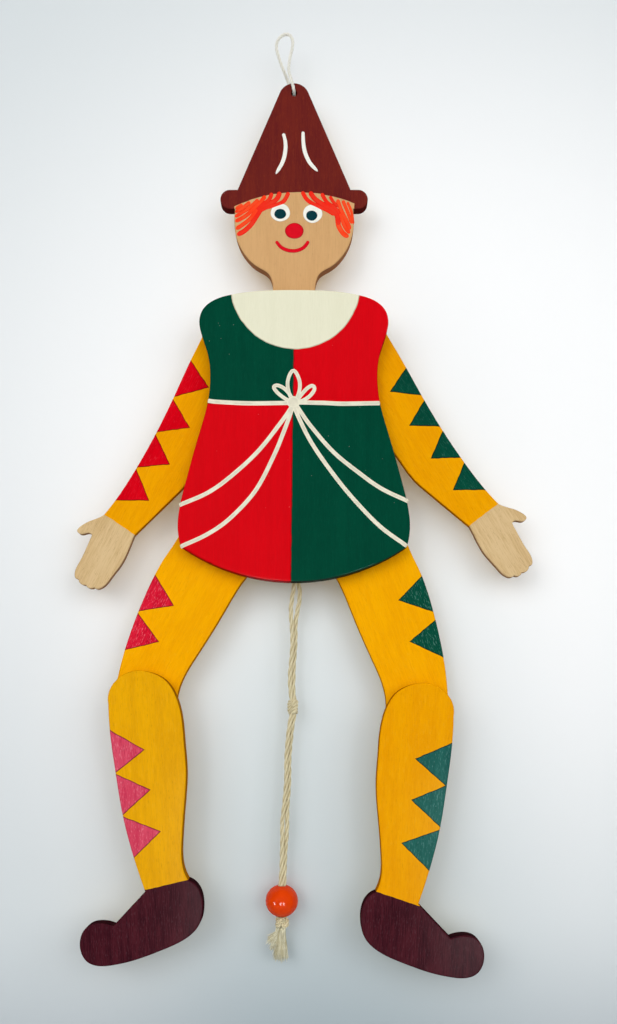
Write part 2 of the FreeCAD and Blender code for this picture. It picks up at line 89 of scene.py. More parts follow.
def add_node(
    tree: Tree,
    kind: str,
    inputs: dict[Union[str, int], Given] | tuple[Given, ...] = (),
    out: Union[str, int] = 0,
    **settings: Any,
) -> Socket | None:
    """Add one node with its settings, numbers and links.

    Args:
        tree: Node tree of the material or the world.
        kind: Type of the node.
        inputs: Sockets to link and values to set, by the input's name or number or in order.
        out: Name or number of the output that is wanted.
        **settings: Properties of the node itself.

    Returns:
        That output, or None where the node has none.
    """
    node = tree.nodes.new(kind)
    for name, value in settings.items():
        setattr(node, name, value)
    for key, value in inputs.items() if isinstance(inputs, dict) else enumerate(inputs):
        if isinstance(value, bpy.types.NodeSocket):
            tree.links.new(node.inputs[key], value)
        else:
            node.inputs[key].default_value = value
    return node.outputs[out] if len(node.outputs) else None


def blank_material(name: str) -> tuple[bpy.types.Material, Tree]:
    """Make a material with an empty node tree.

    Args:
        name: Name of the material.

    Returns:
        The material and its tree.
    """
    material = bpy.data.materials.new(name)
    material.use_nodes = True
    material.node_tree.nodes.clear()
    return material, material.node_tree


def along_grain(
    tree: Tree, place: Socket, at: Point, turn: float, across: float, along: float, detail: float
) -> Socket:
    """Noise drawn out along a direction in the board's plane, as wood fibres are.

    Args:
        tree: Node tree.
        place: Object coordinates.
        at: Point that the pattern is turned about, in millimetres.
        turn: Turn of the long direction from upright, in degrees, clockwise for the viewer.
        across: Width of one feature in millimetres.
        along: Length of one feature in millimetres.
        detail: Octaves of the noise.

    Returns:
        The noise, about a half on average.
    """
    frame_of_grain = {
        "Vector": place,
        "Location": (at[0] * MM, 0.0, at[1] * MM),
        "Rotation": (0.0, math.radians(turn), 0.0),
        "Scale": (across * MM, across * MM, along * MM),
    }
    drawn = add_node(tree, "ShaderNodeMapping", frame_of_grain, vector_type="TEXTURE")
    noise = {"Vector": drawn, "Scale": 1.0, "Detail": detail, "Roughness": 0.55}
    return add_node(tree, "ShaderNodeTexNoise", noise)


@dataclass(frozen=True)
class Coat:
    """One coat on wood: stain, thin paint, enamel or nothing but sanding.

    light and dark are its colours over early and late wood, fleck its colour in the short flecks
    that mark beech and where it gathers at a border, and speck that of light spots, partly where
    the brush skipped and partly painted glints of the gloss. flecks and specks say how strongly
    they show.
    """

    light: str
    dark: str
    fleck: str
    flecks: float
    speck: str
    specks: float
    roughness: float
    relief: float


# Beech sanded and left bare: pale pinkish tan with fine darker flecks.
BARE_BACK = Coat("#D8BC8A", "#C5A270", "#A27C4C", 0.5, "#E6CFA2", 0.15, 0.62, 1.0)
BARE_HAND = Coat("#DCBE8E", "#CCAA77", "#A8824F", 0.45, "#E6CDA2", 0.15, 0.6, 0.9)
# The face has a thin clear coat, which warms the beech and evens it out.
CLEAR_FACE = Coat("#D7A974", "#D0A26D", "#B98B5A", 0.3, "#DDB483", 0.1, 0.48, 0.4)
# Oil enamel on the torso hides the grain; it is even and a little glossy.
RED_ENAMEL = Coat("#DC000F", "#D4000D", "#8E000C", 0.05, "#E63A44", 0.05, 0.34, 0.12)
GREEN_ENAMEL = Coat("#004733", "#00412F", "#002418", 0.08, "#1E6650", 0.1, 0.34, 0.12)
CREAM_ENAMEL = Coat("#ECE9CE", "#E8E5C9", "#BDB79A", 0.06, "#F4F2DC", 0.1, 0.38, 0.12)
# Yellow on the limbs is thinned, so the grain reads through it. It is brightest on the thighs,
# a shade deeper on the arms and the right shin, and duller on the left shin.
YELLOW = Coat("#FCB000", "#F4A400", "#D48B02", 0.3, "#FCC440", 0.18, 0.46, 0.7)
DEEP_YELLOW = Coat("#F3A600", "#EB9A00", "#CC8002", 0.3, "#F4BA3C", 0.18, 0.46, 0.7)
DULL_YELLOW = Coat("#EFAC06", "#E29F06", "#BA7D08", 0.34, "#F2C04C", 0.14, 0.46, 0.8)
# The zigzags are brushed on thin: even on the sleeves, streaky further down and paler and pinker
# there. That paler colour and the pale streaks are painted sheen, which grows further down.
SLEEVE_RED = Coat("#DE0418", "#D00012", "#7C0010", 0.2, "#F0606C", 0.12, 0.4, 0.7)
THIGH_RED_PAINTED_SHEEN = Coat("#E01E38", "#C60A28", "#7A0420", 0.45, "#F58C9C", 0.42, 0.4, 1.3)
SHIN_PINK_PAINTED_SHEEN = Coat("#DC5068", "#CE3854", "#6E1028", 0.35, "#F2A2B0", 0.35, 0.4, 1.3)
SLEEVE_GREEN = Coat("#084C3A", "#064232", "#02241A", 0.2, "#5A9484", 0.18, 0.4, 0.7)
THIGH_GREEN_PAINTED_SHEEN = Coat("#0E5440", "#094636", "#03281E", 0.4, "#6FA898", 0.4, 0.4, 1.3)
SHIN_GREEN_PAINTED_SHEEN = Coat("#28685E", "#1D5850", "#06302A", 0.35, "#72A8A0", 0.35, 0.4, 1.3)
# Brown-red spirit stain takes unevenly along the grain, with orange smears on the hat.
HAT_STAIN = Coat("#73271F", "#66211F", "#4A151A", 0.2, "#8E3C20", 0.3, 0.46, 0.4)
SHOE_STAIN = Coat("#4E1C25", "#341019", "#1E070E", 0.3, "#7A6068", 0.1, 0.42, 0.6)
# Sawn edges take up more colour than the faces, and they also carry painted shade: they keep less
# than half of its light.
SAWN_SIDE_SOAK_AND_SHADE = "#B8A4A8"
# Dust that settled in the wet enamel.
DUST = "#D9CFC4"

# Marks in beech: width and length in millimetres and the octaves of their noise. Fibres are as
# coarse as they need to show, clouds are where the coat took unevenly, and light specks are partly
# painted glints of the gloss.
FIBRES = (0.55, 9.0, 3.0)
GROWTH_BANDS = (4.0, 90.0, 2.0)
DARK_FLECKS = (0.36, 2.6, 1.0)
LIGHT_SPECKS_AND_GLINTS = (0.35, 2.0, 1.0)
CLOUDS = (14.0, 30.0, 3.0)


class Region:
    """A part of a board's face that takes its own coat."""

    def depth(self, tree: Tree, place: Socket) -> Socket:
        """How far inside the region a point is, in metres, below nought outside.

        Args:
            tree: Node tree.
            place: Object coordinates.

        Returns:
            The depth.
        """
        raise NotImplementedError


@dataclass(frozen=True)
class HalfPlane(Region):
    """The left of a straight line, for a viewer who walks from its start to its end."""

    start: Point
    end: Point

    def depth(self, tree: Tree, place: Socket) -> Socket:
        """Distance from the line: the offset from its start, times its unit normal."""
        run = np.subtract(self.end, self.start)
        normal = np.array([-run[1], run[0]]) / np.hypot(*run)
        start = (self.start[0] * MM, 0.0, self.start[1] * MM)
        across = (float(normal[0]), 0.0, float(normal[1]))
        offset = add_node(tree, "ShaderNodeVectorMath", (place, start), operation="SUBTRACT")
        return add_node(
            tree, "ShaderNodeVectorMath", (offset, across), "Value", operation="DOT_PRODUCT"
        )


@dataclass(frozen=True)
class Disc(Region):
    """The inside of a circle seen from the front, or what is outside it."""

    centre: Point
    radius: float
    outside: bool = False

    def depth(self, tree: Tree, place: Socket) -> Socket:
        """The radius less the distance from the centre, both flat on the board."""
        flat = add_node(
            tree, "ShaderNodeVectorMath", (place, (1.0, 0.0, 1.0)), operation="MULTIPLY"
        )
        middle = (self.centre[0] * MM, 0.0, self.centre[1] * MM)
        away = add_node(tree, "ShaderNodeVectorMath", (flat, middle), "Value", operation="DISTANCE")
        pair = (away, self.radius * MM) if self.outside else (self.radius * MM, away)
        return add_node(tree, "ShaderNodeMath", pair, operation="SUBTRACT")


@dataclass(frozen=True)
class Quarters(Region):
    """Two opposite quarters of a cross of two lines."""

    upright: HalfPlane
    level: HalfPlane

    def depth(self, tree: Tree, place: Socket) -> Socket:
        """The greater of both depths' minimum and their maximum turned over."""
        both = (self.upright.depth(tree, place), self.level.depth(tree, place))
        inner = add_node(tree, "ShaderNodeMath", both, operation="MINIMUM")
        outer = add_node(tree, "ShaderNodeMath", both, operation="MAXIMUM")
        turned = add_node(tree, "ShaderNodeMath", (outer, -1.0), operation="MULTIPLY")
        return add_node(tree, "ShaderNodeMath", (inner, turned), operation="MAXIMUM")


@dataclass(frozen=True)
class Zigzag(Region):
    """Triangles along a board's edge, each from its upper end over its tip to its lower end.

    A triangle is open towards the edge, so the paint runs on round the board's side.
    """

    triangles: tuple[Triangle, ...]

    def depth(self, tree: Tree, place: Socket) -> Socket:
        """The greatest of the triangles' depths, each the lesser depth from its two sides."""
        found: Given = -1.0
        for upper, tip, lower in self.triangles:
            turn = np.linalg.det([np.subtract(upper, tip), np.subtract(lower, tip)])
            ends = (upper, lower) if turn > 0 else (lower, upper)
            sides = (
                HalfPlane(tip, ends[0]).depth(tree, place),
                HalfPlane(ends[1], tip).depth(tree, place),
            )
            inside = add_node(tree, "ShaderNodeMath", sides, operation="MINIMUM")
            found = add_node(tree, "ShaderNodeMath", (inside, found), operation="MAXIMUM")
        return found


@dataclass(frozen=True)
class Back(Region):
    """The back of a board, which nobody painted."""

    level: float

    def depth(self, tree: Tree, place: Socket) -> Socket:
        """Distance behind a plane near the board's back."""
        y = add_node(tree, "ShaderNodeSeparateXYZ", (place,), "Y")
        return add_node(tree, "ShaderNodeMath", (y, self.level * MM), operation="SUBTRACT")


@dataclass(frozen=True)
class Patch:
    """A coat on one region of a board; raised is its thickness in millimetres."""

    region: Region
    coat: Coat
    raised: float = 0.0


@dataclass(frozen=True)
class BoardFinish:
    """Solid beech board, sawn and sanded, with coats laid side by side over it.

    grain_turn is the grain's turn from upright in degrees, and grain_at the point that it is
    turned about. dust says how strongly specks of dust show in the enamel, and gloss is the weight
    of its sheen: the limbs' thin paint is almost matt, and only the torso's enamel shines a little.
    """

    name: str
    grain_turn: float
    grain_at: Point
    base: Coat
    patches: tuple[Patch, ...]
    dust: float = 0.0
    gloss: float = 0.015

    def over_grain(
        self, tree: Tree, coat: Coat, tone: Socket, fleck: Socket, speck: Socket
    ) -> Socket:
        """A coat's colour over light and dark grain, with its flecks and specks.

        Args:
            tree: Node tree.
            coat: The coat.
            tone: Share of dark grain.
            fleck: One in a dark fleck and nought beside it.
            speck: One in a light speck, partly a painted glint, and nought beside it.

        Returns:
            The colour.
        """
        both = {0: tone, 6: linear(coat.light), 7: linear(coat.dark)}
        over = add_node(tree, "ShaderNodeMix", both, 2, data_type="RGBA")
        for mark, strength, colour in (
            (fleck, coat.flecks, coat.fleck), (speck, coat.specks, coat.speck)
        ):
            share = add_node(tree, "ShaderNodeMath", (mark, strength), operation="MULTIPLY")
            both = {0: share, 6: over, 7: linear(colour)}
            over = add_node(tree, "ShaderNodeMix", both, 2, data_type="RGBA")
        return over

    def material(self) -> bpy.types.Material:
        """Build the board's material.

        Returns:
            The material.
        """
        material, tree = blank_material(self.name)
        place = add_node(tree, "ShaderNodeTexCoord", out="Object")
        fibres, bands, flecks, specks, clouds = (
            along_grain(tree, place, self.grain_at, self.grain_turn, *mark)
            for mark in (FIBRES, GROWTH_BANDS, DARK_FLECKS, LIGHT_SPECKS_AND_GLINTS, CLOUDS)
        )
        tone = add_node(tree, "ShaderNodeMath", (bands, 0.35), operation="MULTIPLY")
        for noise, weight in ((fibres, 0.6), (clouds, 0.35)):
            both = (noise, weight, tone)
            tone = add_node(tree, "ShaderNodeMath", both, operation="MULTIPLY_ADD")
        marks = []
        for noise, low, high in ((tone, 0.5, 0.8), (flecks, 0.62, 0.74), (specks, 0.58, 0.72)):
            step = {"Value": noise, "From Min": low, "From Max": high}
            marks.append(
                add_node(tree, "ShaderNodeMapRange", step, interpolation_type="SMOOTHSTEP")
            )

        # The brush wanders by about a tenth of a millimetre in waves of 4 mm along a painted line.
        wander = {"Vector": place, "Scale": 260.0, "Detail": 1.0}
        wander = add_node(tree, "ShaderNodeTexNoise", wander, "Color")
        both = (wander, (0.5, 0.5, 0.5))
        wander = add_node(tree, "ShaderNodeVectorMath", both, operation="SUBTRACT")
        both = (wander, (0.0006, 0.0, 0.0006), place)
        shaken = add_node(tree, "ShaderNodeVectorMath", both, operation="MULTIPLY_ADD")

        colour = self.over_grain(tree, self.base, *marks)
        rough: Given = self.base.roughness
        relief: Given = self.base.relief
        film: Given = 0.0
        for patch in self.patches:
            depth = patch.region.depth(tree, shaken)
            step = {"Value": depth, "From Min": -0.05 * MM, "From Max": 0.05 * MM}
            share = add_node(tree, "ShaderNodeMapRange", step, interpolation_type="SMOOTHSTEP")
            own = self.over_grain(tree, patch.coat, *marks)
            if patch.raised:
                # Paint gathers at a film's border, where it is darker and stands up.
                step = {"Value": depth, "From Min": 0.2 * MM, "From Max": 0.6 * MM}
                rim = add_node(tree, "ShaderNodeMapRange", step)
                both = {0: rim, 6: linear(patch.coat.fleck), 7: own}
                own = add_node(tree, "ShaderNodeMix", both, 2, data_type="RGBA")
                step = {
                    "Value": depth, "From Min": -0.03 * MM, "From Max": 0.28 * MM,
                    "To Max": patch.raised,
                }
                step = add_node(tree, "ShaderNodeMapRange", step)
                film = add_node(tree, "ShaderNodeMath", (film, step), operation="ADD")
            both = {0: share, 6: colour, 7: own}
            colour = add_node(tree, "ShaderNodeMix", both, 2, data_type="RGBA")
            both = {0: share, 2: rough, 3: patch.coat.roughness}
            rough = add_node(tree, "ShaderNodeMix", both, data_type="FLOAT")
            both = {0: share, 2: relief, 3: patch.coat.relief}
            relief = add_node(tree, "ShaderNodeMix", both, data_type="FLOAT")
        if self.dust:
            # Grains of a third of a millimetre, about 7 mm apart.
            cells = add_node(tree, "ShaderNodeTexVoronoi", {"Vector": place, "Scale": 150.0})
            step = {"Value": cells, "From Min": 0.045, "From Max": 0.02, "To Max": self.dust}
            speck = add_node(tree, "ShaderNodeMapRange", step)
            both = {0: speck, 6: colour, 7: linear(DUST)}
            colour = add_node(tree, "ShaderNodeMix", both, 2, data_type="RGBA")

        # Painted shade on the board's sides: where the surface turns away from the front, its
        # colour is darkened, partly for end grain that soaks up colour.
        normal = add_node(tree, "ShaderNodeNewGeometry", out="Normal")
        facing = add_node(tree, "ShaderNodeSeparateXYZ", (normal,), "Y")
        facing = add_node(tree, "ShaderNodeMath", (facing,), operation="ABSOLUTE")
        step = {"Value": facing, "From Min": 0.55, "From Max": 0.3}
        sawn = add_node(tree, "ShaderNodeMapRange", step, interpolation_type="SMOOTHSTEP")
        both = {0: sawn, 6: colour, 7: linear(SAWN_SIDE_SOAK_AND_SHADE)}
        colour = add_node(tree, "ShaderNodeMix", both, 2, data_type="RGBA", blend_type="MULTIPLY")

        # Fibres stand 0.02 mm up and flecks, the second mark, are 0.03 mm deep, and both less under
        # a thicker coat.
        height = add_node(tree, "ShaderNodeMath", (fibres, 0.02), operation="MULTIPLY")
        both = (marks[1], -0.03, height)
        height = add_node(tree, "ShaderNodeMath", both, operation="MULTIPLY_ADD")
        both = (height, relief, film)
        height = add_node(tree, "ShaderNodeMath", both, operation="MULTIPLY_ADD")
        bump = add_node(tree, "ShaderNodeBump", {"Height": height, "Distance": MM, "Strength": 1.0})
        look = {
            "Base Color": colour, "Roughness": rough, "Normal": bump, "IOR": 1.45,
            "Specular IOR Level": 0.0, "Coat Weight": self.gloss, "Coat Roughness": 0.15,
        }
        shader = add_node(tree, "ShaderNodeBsdfPrincipled", look)
        add_node(tree, "ShaderNodeOutputMaterial", {"Surface": shader})
        return material


@dataclass(frozen=True)
class BrushedEnamel:
    """Enamel put on with one pull of a small brush, thinner in its middle, darker at its rim.

    thin says how strongly the thin colour shows in the middle. rim_from is the value of the edge
    mark from which the rim colour sets in, and a lower one makes a broader rim.
    """

    name: str
    colour: str
    thin_colour: str
    rim_colour: str
    thin: float
    rim_from: float = 0.7

    def material(self) -> bpy.types.Material:
        """Build the material of a brush stroke.

        Returns:
            The material.
        """
        material, tree = blank_material(self.name)
        strip = add_node(tree, "ShaderNodeUVMap", uv_map="strip")
        # Bristle marks: about 0.25 mm apart across the stroke and 6 mm long.
        drawn = {"Vector": strip, "Scale": (14.0, 1 / (6 * MM), 1.0)}
        drawn = add_node(tree, "ShaderNodeMapping", drawn)
        drawn = {"Vector": drawn, "Scale": 1.0, "Detail": 2.0}
        marks = add_node(tree, "ShaderNodeTexNoise", drawn)
        place = add_node(tree, "ShaderNodeTexCoord", out="Object")
        # The film is thin in blotches of about 5 mm.
        blotches = {"Vector": place, "Scale": 190.0, "Detail": 2.0}
        blotches = add_node(tree, "ShaderNodeTexNoise", blotches)
        blotches = {"Value": blotches, "From Min": 0.3, "From Max": 0.7}
        blotches = add_node(tree, "ShaderNodeMapRange", blotches, interpolation_type="SMOOTHSTEP")
        edge = add_node(tree, "ShaderNodeAttribute", out="Fac", attribute_name="edge")
        middle = {"Value": edge, "From Min": 0.5, "From Max": 0.02, "To Max": self.thin}
        middle = add_node(tree, "ShaderNodeMapRange", middle, interpolation_type="SMOOTHSTEP")
        share = add_node(tree, "ShaderNodeMath", (middle, blotches), operation="MULTIPLY")
        streaks = {"Value": marks, "From Min": 0.42, "From Max": 0.75, "To Max": 0.3}
        streaks = add_node(tree, "ShaderNodeMapRange", streaks)
        share = add_node(tree, "ShaderNodeMath", (share, streaks), operation="MAXIMUM")
        both = {0: share, 6: linear(self.colour), 7: linear(self.thin_colour)}
        colour = add_node(tree, "ShaderNodeMix", both, 2, data_type="RGBA")
        rim = {"Value": edge, "From Min": self.rim_from, "From Max": 1.0, "To Max": 0.8}
        both = {0: add_node(tree, "ShaderNodeMapRange", rim), 6: colour, 7: linear(self.rim_colour)}
        colour = add_node(tree, "ShaderNodeMix", both, 2, data_type="RGBA")
        ridges = {"Height": marks, "Distance": 0.03 * MM, "Strength": 0.8}
        look = {
            "Base Color": colour, "Roughness": 0.34,
            "Normal": add_node(tree, "ShaderNodeBump", ridges), "IOR": 1.5,
            "Specular IOR Level": 0.0, "Coat Weight": 0.2, "Coat Roughness": 0.2,
        }
        shader = add_node(tree, "ShaderNodeBsdfPrincipled", look)
        add_node(tree, "ShaderNodeOutputMaterial", {"Surface": shader})
        return material


@dataclass(frozen=True)
class PliedCotton:
    """Cotton cord of three plies: matt and fibrous, with painted shade where the plies meet."""

    name: str
    colour: str
    crease_shade_and_tone: str

    def material(self) -> bpy.types.Material:
        """Build the cord's material.

        Returns:
            The material.
        """
        material, tree = blank_material(self.name)
        strip = add_node(tree, "ShaderNodeUVMap", uv_map="strip")
        # Cotton fibres lie along each ply: drawn 0.12 by 1.6 mm, so that they show.
        drawn = {
            "Vector": strip, "Rotation": (0.0, 0.0, 0.5), "Scale": (26.0, 1 / (1.6 * MM), 1.0)
        }
        drawn = add_node(tree, "ShaderNodeMapping", drawn)
        drawn = {"Vector": drawn, "Scale": 1.0, "Detail": 3.0}
        fibres = add_node(tree, "ShaderNodeTexNoise", drawn)
        place = add_node(tree, "ShaderNodeTexCoord", out="Object")
        # Hands have soiled it here and there, in patches of about 8 mm.
        soil = {"Vector": place, "Scale": 120.0, "Detail": 2.0}
        soil = add_node(tree, "ShaderNodeTexNoise", soil)
        soil = {"Value": soil, "From Min": 0.45, "From Max": 0.8, "To Max": 0.2}
        soil = add_node(tree, "ShaderNodeMapRange", soil)
        hairs = {"Value": fibres, "From Min": 0.3, "From Max": 0.8, "To Max": 0.45}
        hairs = add_node(tree, "ShaderNodeMapRange", hairs)
        # Painted shade in the creases between the plies, as the mesh marks it; on the frayed ends a
        # random tone per fibre.
        inner = add_node(tree, "ShaderNodeAttribute", out="Fac", attribute_name="crease_shade_and_tone")
        dark = add_node(tree, "ShaderNodeMath", (hairs, inner), operation="ADD")
        both = (dark, soil)
        dark = add_node(tree, "ShaderNodeMath", both, operation="ADD", use_clamp=True)
        both = {0: dark, 6: linear(self.colour), 7: linear(self.crease_shade_and_tone)}
        colour = add_node(tree, "ShaderNodeMix", both, 2, data_type="RGBA")
        fuzz = {"Height": fibres, "Distance": 0.12 * MM, "Strength": 0.9}
        look = {
            "Base Color": colour, "Roughness": 0.88,
            "Normal": add_node(tree, "ShaderNodeBump", fuzz), "Specular IOR Level": 0.25,
            "Sheen Weight": 0.2, "Sheen Roughness": 0.5,
        }
        shader = add_node(tree, "ShaderNodeBsdfPrincipled", look)
        add_node(tree, "ShaderNodeOutputMaterial", {"Surface": shader})
        return material


@dataclass(frozen=True)
class DippedLacquer:
    """Nitro lacquer on a turned wooden ball: thick, smooth and glossy."""

    name: str
    colour: str
    deep: str

    def material(self) -> bpy.types.Material:
        """Build the bead's material.

        Returns:
            The material.
        """
        material, tree = blank_material(self.name)
        place = add_node(tree, "ShaderNodeTexCoord", out="Object")
        # The dip left clouds of deeper colour about 4 mm wide.
        clouds = {"Vector": place, "Scale": 240.0, "Detail": 3.0}
        clouds = add_node(tree, "ShaderNodeTexNoise", clouds)
        clouds = {"Value": clouds, "From Min": 0.35, "From Max": 0.75, "To Max": 0.6}
        clouds = add_node(tree, "ShaderNodeMapRange", clouds)
        both = {0: clouds, 6: linear(self.colour), 7: linear(self.deep)}
        colour = add_node(tree, "ShaderNodeMix", both, 2, data_type="RGBA")
        # Lacquer flows out in waves about 2 mm apart, like orange peel.
        peel = {"Vector": place, "Scale": 520.0, "Detail": 1.0}
        peel = add_node(tree, "ShaderNodeTexNoise", peel)
        waves = {"Height": peel, "Distance": 0.04 * MM, "Strength": 0.25}
        look = {
            "Base Color": colour, "Roughness": 0.4,
            "Normal": add_node(tree, "ShaderNodeBump", waves), "IOR": 1.5,
            "Specular IOR Level": 0.0, "Coat Weight": 0.35, "Coat Roughness": 0.12,
        }
        shader = add_node(tree, "ShaderNodeBsdfPrincipled", look)
        add_node(tree, "ShaderNodeOutputMaterial", {"Surface": shader})
        return material


# ------------------------------------------------------------------- shapes


def placed(name: str, data: bpy.types.ID) -> bpy.types.Object:
    """Put a mesh, a curve, a lamp or a camera into the scene.

    Args:
        name: Name of the object.
        data: What it shows.

    Returns:
        The object, at the origin.
    """
    made = bpy.data.objects.new(name, data)
    bpy.context.scene.collection.objects.link(made)
    return made


def shell(
    name: str, points: np.ndarray, faces: list[list[int]], material: bpy.types.Material
) -> bpy.types.Object:
    """Make a smoothly shaded mesh.

    Args:
        name: Name of the object and its mesh.
        points: Array whose last axis holds three coordinates, in metres.
        faces: Numbers of the points round each face.
        material: Its finish.

    Returns:
        The object, at the origin.
    """
    mesh = bpy.data.meshes.new(name)
    mesh.from_pydata(points.reshape(-1, 3).tolist(), [], faces)
    mesh.polygons.foreach_set("use_smooth", [True] * len(mesh.polygons))
    mesh.materials.append(material)
    return placed(name, mesh)


def unit(vectors: np.ndarray) -> np.ndarray:
    """Vectors divided by their lengths."""
    return vectors / np.linalg.norm(vectors, axis=-1, keepdims=True)


def run_along(line: np.ndarray) -> np.ndarray:
    """Length of a polyline from its start to each of its points."""
    return np.concatenate([[0.0], np.cumsum(np.linalg.norm(np.diff(line, axis=0), axis=1))])


def circles(normal: np.ndarray, binormal: np.ndarray, sides: int) -> np.ndarray:
    """Points round unit circles: cos a times one direction and sin a times the other.

    Args:
        normal: Unit vectors, one for each circle.
        binormal: Unit vectors square to them.
        sides: Number of points round a circle.

    Returns:
        The points, with one more axis than the directions have.
    """
    angle = 2 * np.pi * np.arange(sides)[:, None] / sides
    return np.cos(angle) * normal[..., None, :] + np.sin(angle) * binormal[..., None, :]


def skin(
    rings: np.ndarray, name: str, material: bpy.types.Material, mark: str, marked: np.ndarray
) -> bpy.types.Object:
    """Join closed rings of points into one closed shell.

    Point k of a ring is joined to point k + 1 of it and to both in the next ring, and the first
    and last ring are closed with a flat face. The strip map holds the share round the ring and
    the length along the middle.

    Args:
        rings: Array of tubes, stations, points and three coordinates, in metres.
        name: Name of the object.
        material: Its finish.
        mark: Name of the attribute that the finish reads.
        marked: Its value at each point, for all tubes or alike for them.

    Returns:
        The object, at the origin.
    """
    tubes, stations, around = rings.shape[:3]
    index = np.arange(tubes * stations * around).reshape(tubes, stations, around)
    following = np.roll(index, -1, axis=2)
    quads = np.stack(
        [index[:, :-1], following[:, :-1], following[:, 1:], index[:, 1:]], axis=-1
    ).reshape(-1, 4)
    caps = [list(ring[::-1]) for ring in index[:, 0]] + [list(ring) for ring in index[:, -1]]
    made = shell(name, rings, quads.tolist() + caps, material)
    middle = rings.mean(axis=2)
    steps = np.linalg.norm(np.diff(middle, axis=1), axis=2)
    along = np.concatenate([np.zeros((tubes, 1)), np.cumsum(steps, axis=1)], axis=1)
    share = np.arange(around) / around
    low = np.broadcast_to(share, (tubes, stations - 1, around))
    high = low + 1 / around
    start = np.broadcast_to(along[:, :-1, None], low.shape)
    end = np.broadcast_to(along[:, 1:, None], low.shape)
    corners = np.stack(
        [
            np.stack([low, start], -1), np.stack([high, start], -1),
            np.stack([high, end], -1), np.stack([low, end], -1),
        ],
        axis=-2,
    ).reshape(-1, 2)
    corners = np.concatenate([corners, np.full((2 * tubes * around, 2), 0.5)])
    layer = made.data.uv_layers.new(name="strip")
    layer.data.foreach_set("uv", corners.astype(np.float32).ravel())
    values = np.broadcast_to(marked, rings.shape[:3]).astype(np.float32)
    made.data.attributes.new(mark, "FLOAT", "POINT").data.foreach_set("value", values.ravel())
    return made


def smooth_path(points: np.ndarray, count: int) -> np.ndarray:
    """A curve through points, as a Catmull-Rom spline.

    Each span is a cubic of its two ends and their neighbours, and the end points' missing
    neighbours are reflections. The result is spaced evenly along its length.

    Args:
        points: Array of points.
        count: Number of points in the result.

    Returns:
        The points of the curve.
    """
    ends = np.vstack([2 * points[:1] - points[1:2], points, 2 * points[-1:] - points[-2:-1]])
    spans = len(points) - 1
    step = np.linspace(0, spans, spans * 24 + 1)
    first = np.minimum(step.astype(int), spans - 1)
    t = (step - first)[:, None]
    a, b, c, d = (ends[first + k] for k in range(4))
    curve = 0.5 * (
        2 * b + (c - a) * t + (2 * a - 5 * b + 4 * c - d) * t**2 + (3 * b - a - 3 * c + d) * t**3
    )
    return evenly(curve, count)


def evenly(curve: np.ndarray, count: int) -> np.ndarray:
    """Points at even steps along a polyline."""
    return at_shares(curve, np.linspace(0, 1, count))


def at_shares(curve: np.ndarray, shares: np.ndarray) -> np.ndarray:
    """Points at given shares of a polyline's length.

    Args:
        curve: Points of the polyline.
        shares: Shares of its length, from nought to one.

    Returns:
        The points.
    """
    along = run_along(curve)
    wanted = shares * along[-1]
    return np.stack([np.interp(wanted, along, line) for line in curve.T], axis=1)


def laid_on(board: bpy.types.Object, flat: np.ndarray, front: float) -> np.ndarray:
    """The board's surface straight behind points, so that paint follows its rounded rim.

    Args:
        board: The board.
        flat: Points in the board's plane, as X and Z in metres.
        front: Level of the board's front in metres.

    Returns:
        The surface's Y behind each point, and the rim's back where the board is missed.
    """
    clear, rim = 2.0 * MM, 0.7 * MM
    points = np.stack([flat[:, 0], np.full(len(flat), front - clear), flat[:, 1]], axis=1)
    mesh = bpy.data.meshes.new("probe")
    mesh.from_pydata(points.tolist(), [], [])
    probe = placed("probe", mesh)
    wrap = probe.modifiers.new("onto the board", "SHRINKWRAP")
    wrap.target = board
    wrap.wrap_method = "PROJECT"
    wrap.use_project_y = True
    wrap.use_positive_direction = True
    wrap.use_negative_direction = False
    found = probe.evaluated_get(bpy.context.evaluated_depsgraph_get()).data
    level = np.zeros(len(found.vertices) * 3, np.float32)
    found.vertices.foreach_get("co", level)
    bpy.data.objects.remove(probe)
    bpy.data.meshes.remove(mesh)
    level = level.reshape(-1, 3)[:, 1].astype(float)
    return np.where(level < front - clear / 2, front + rim, level)


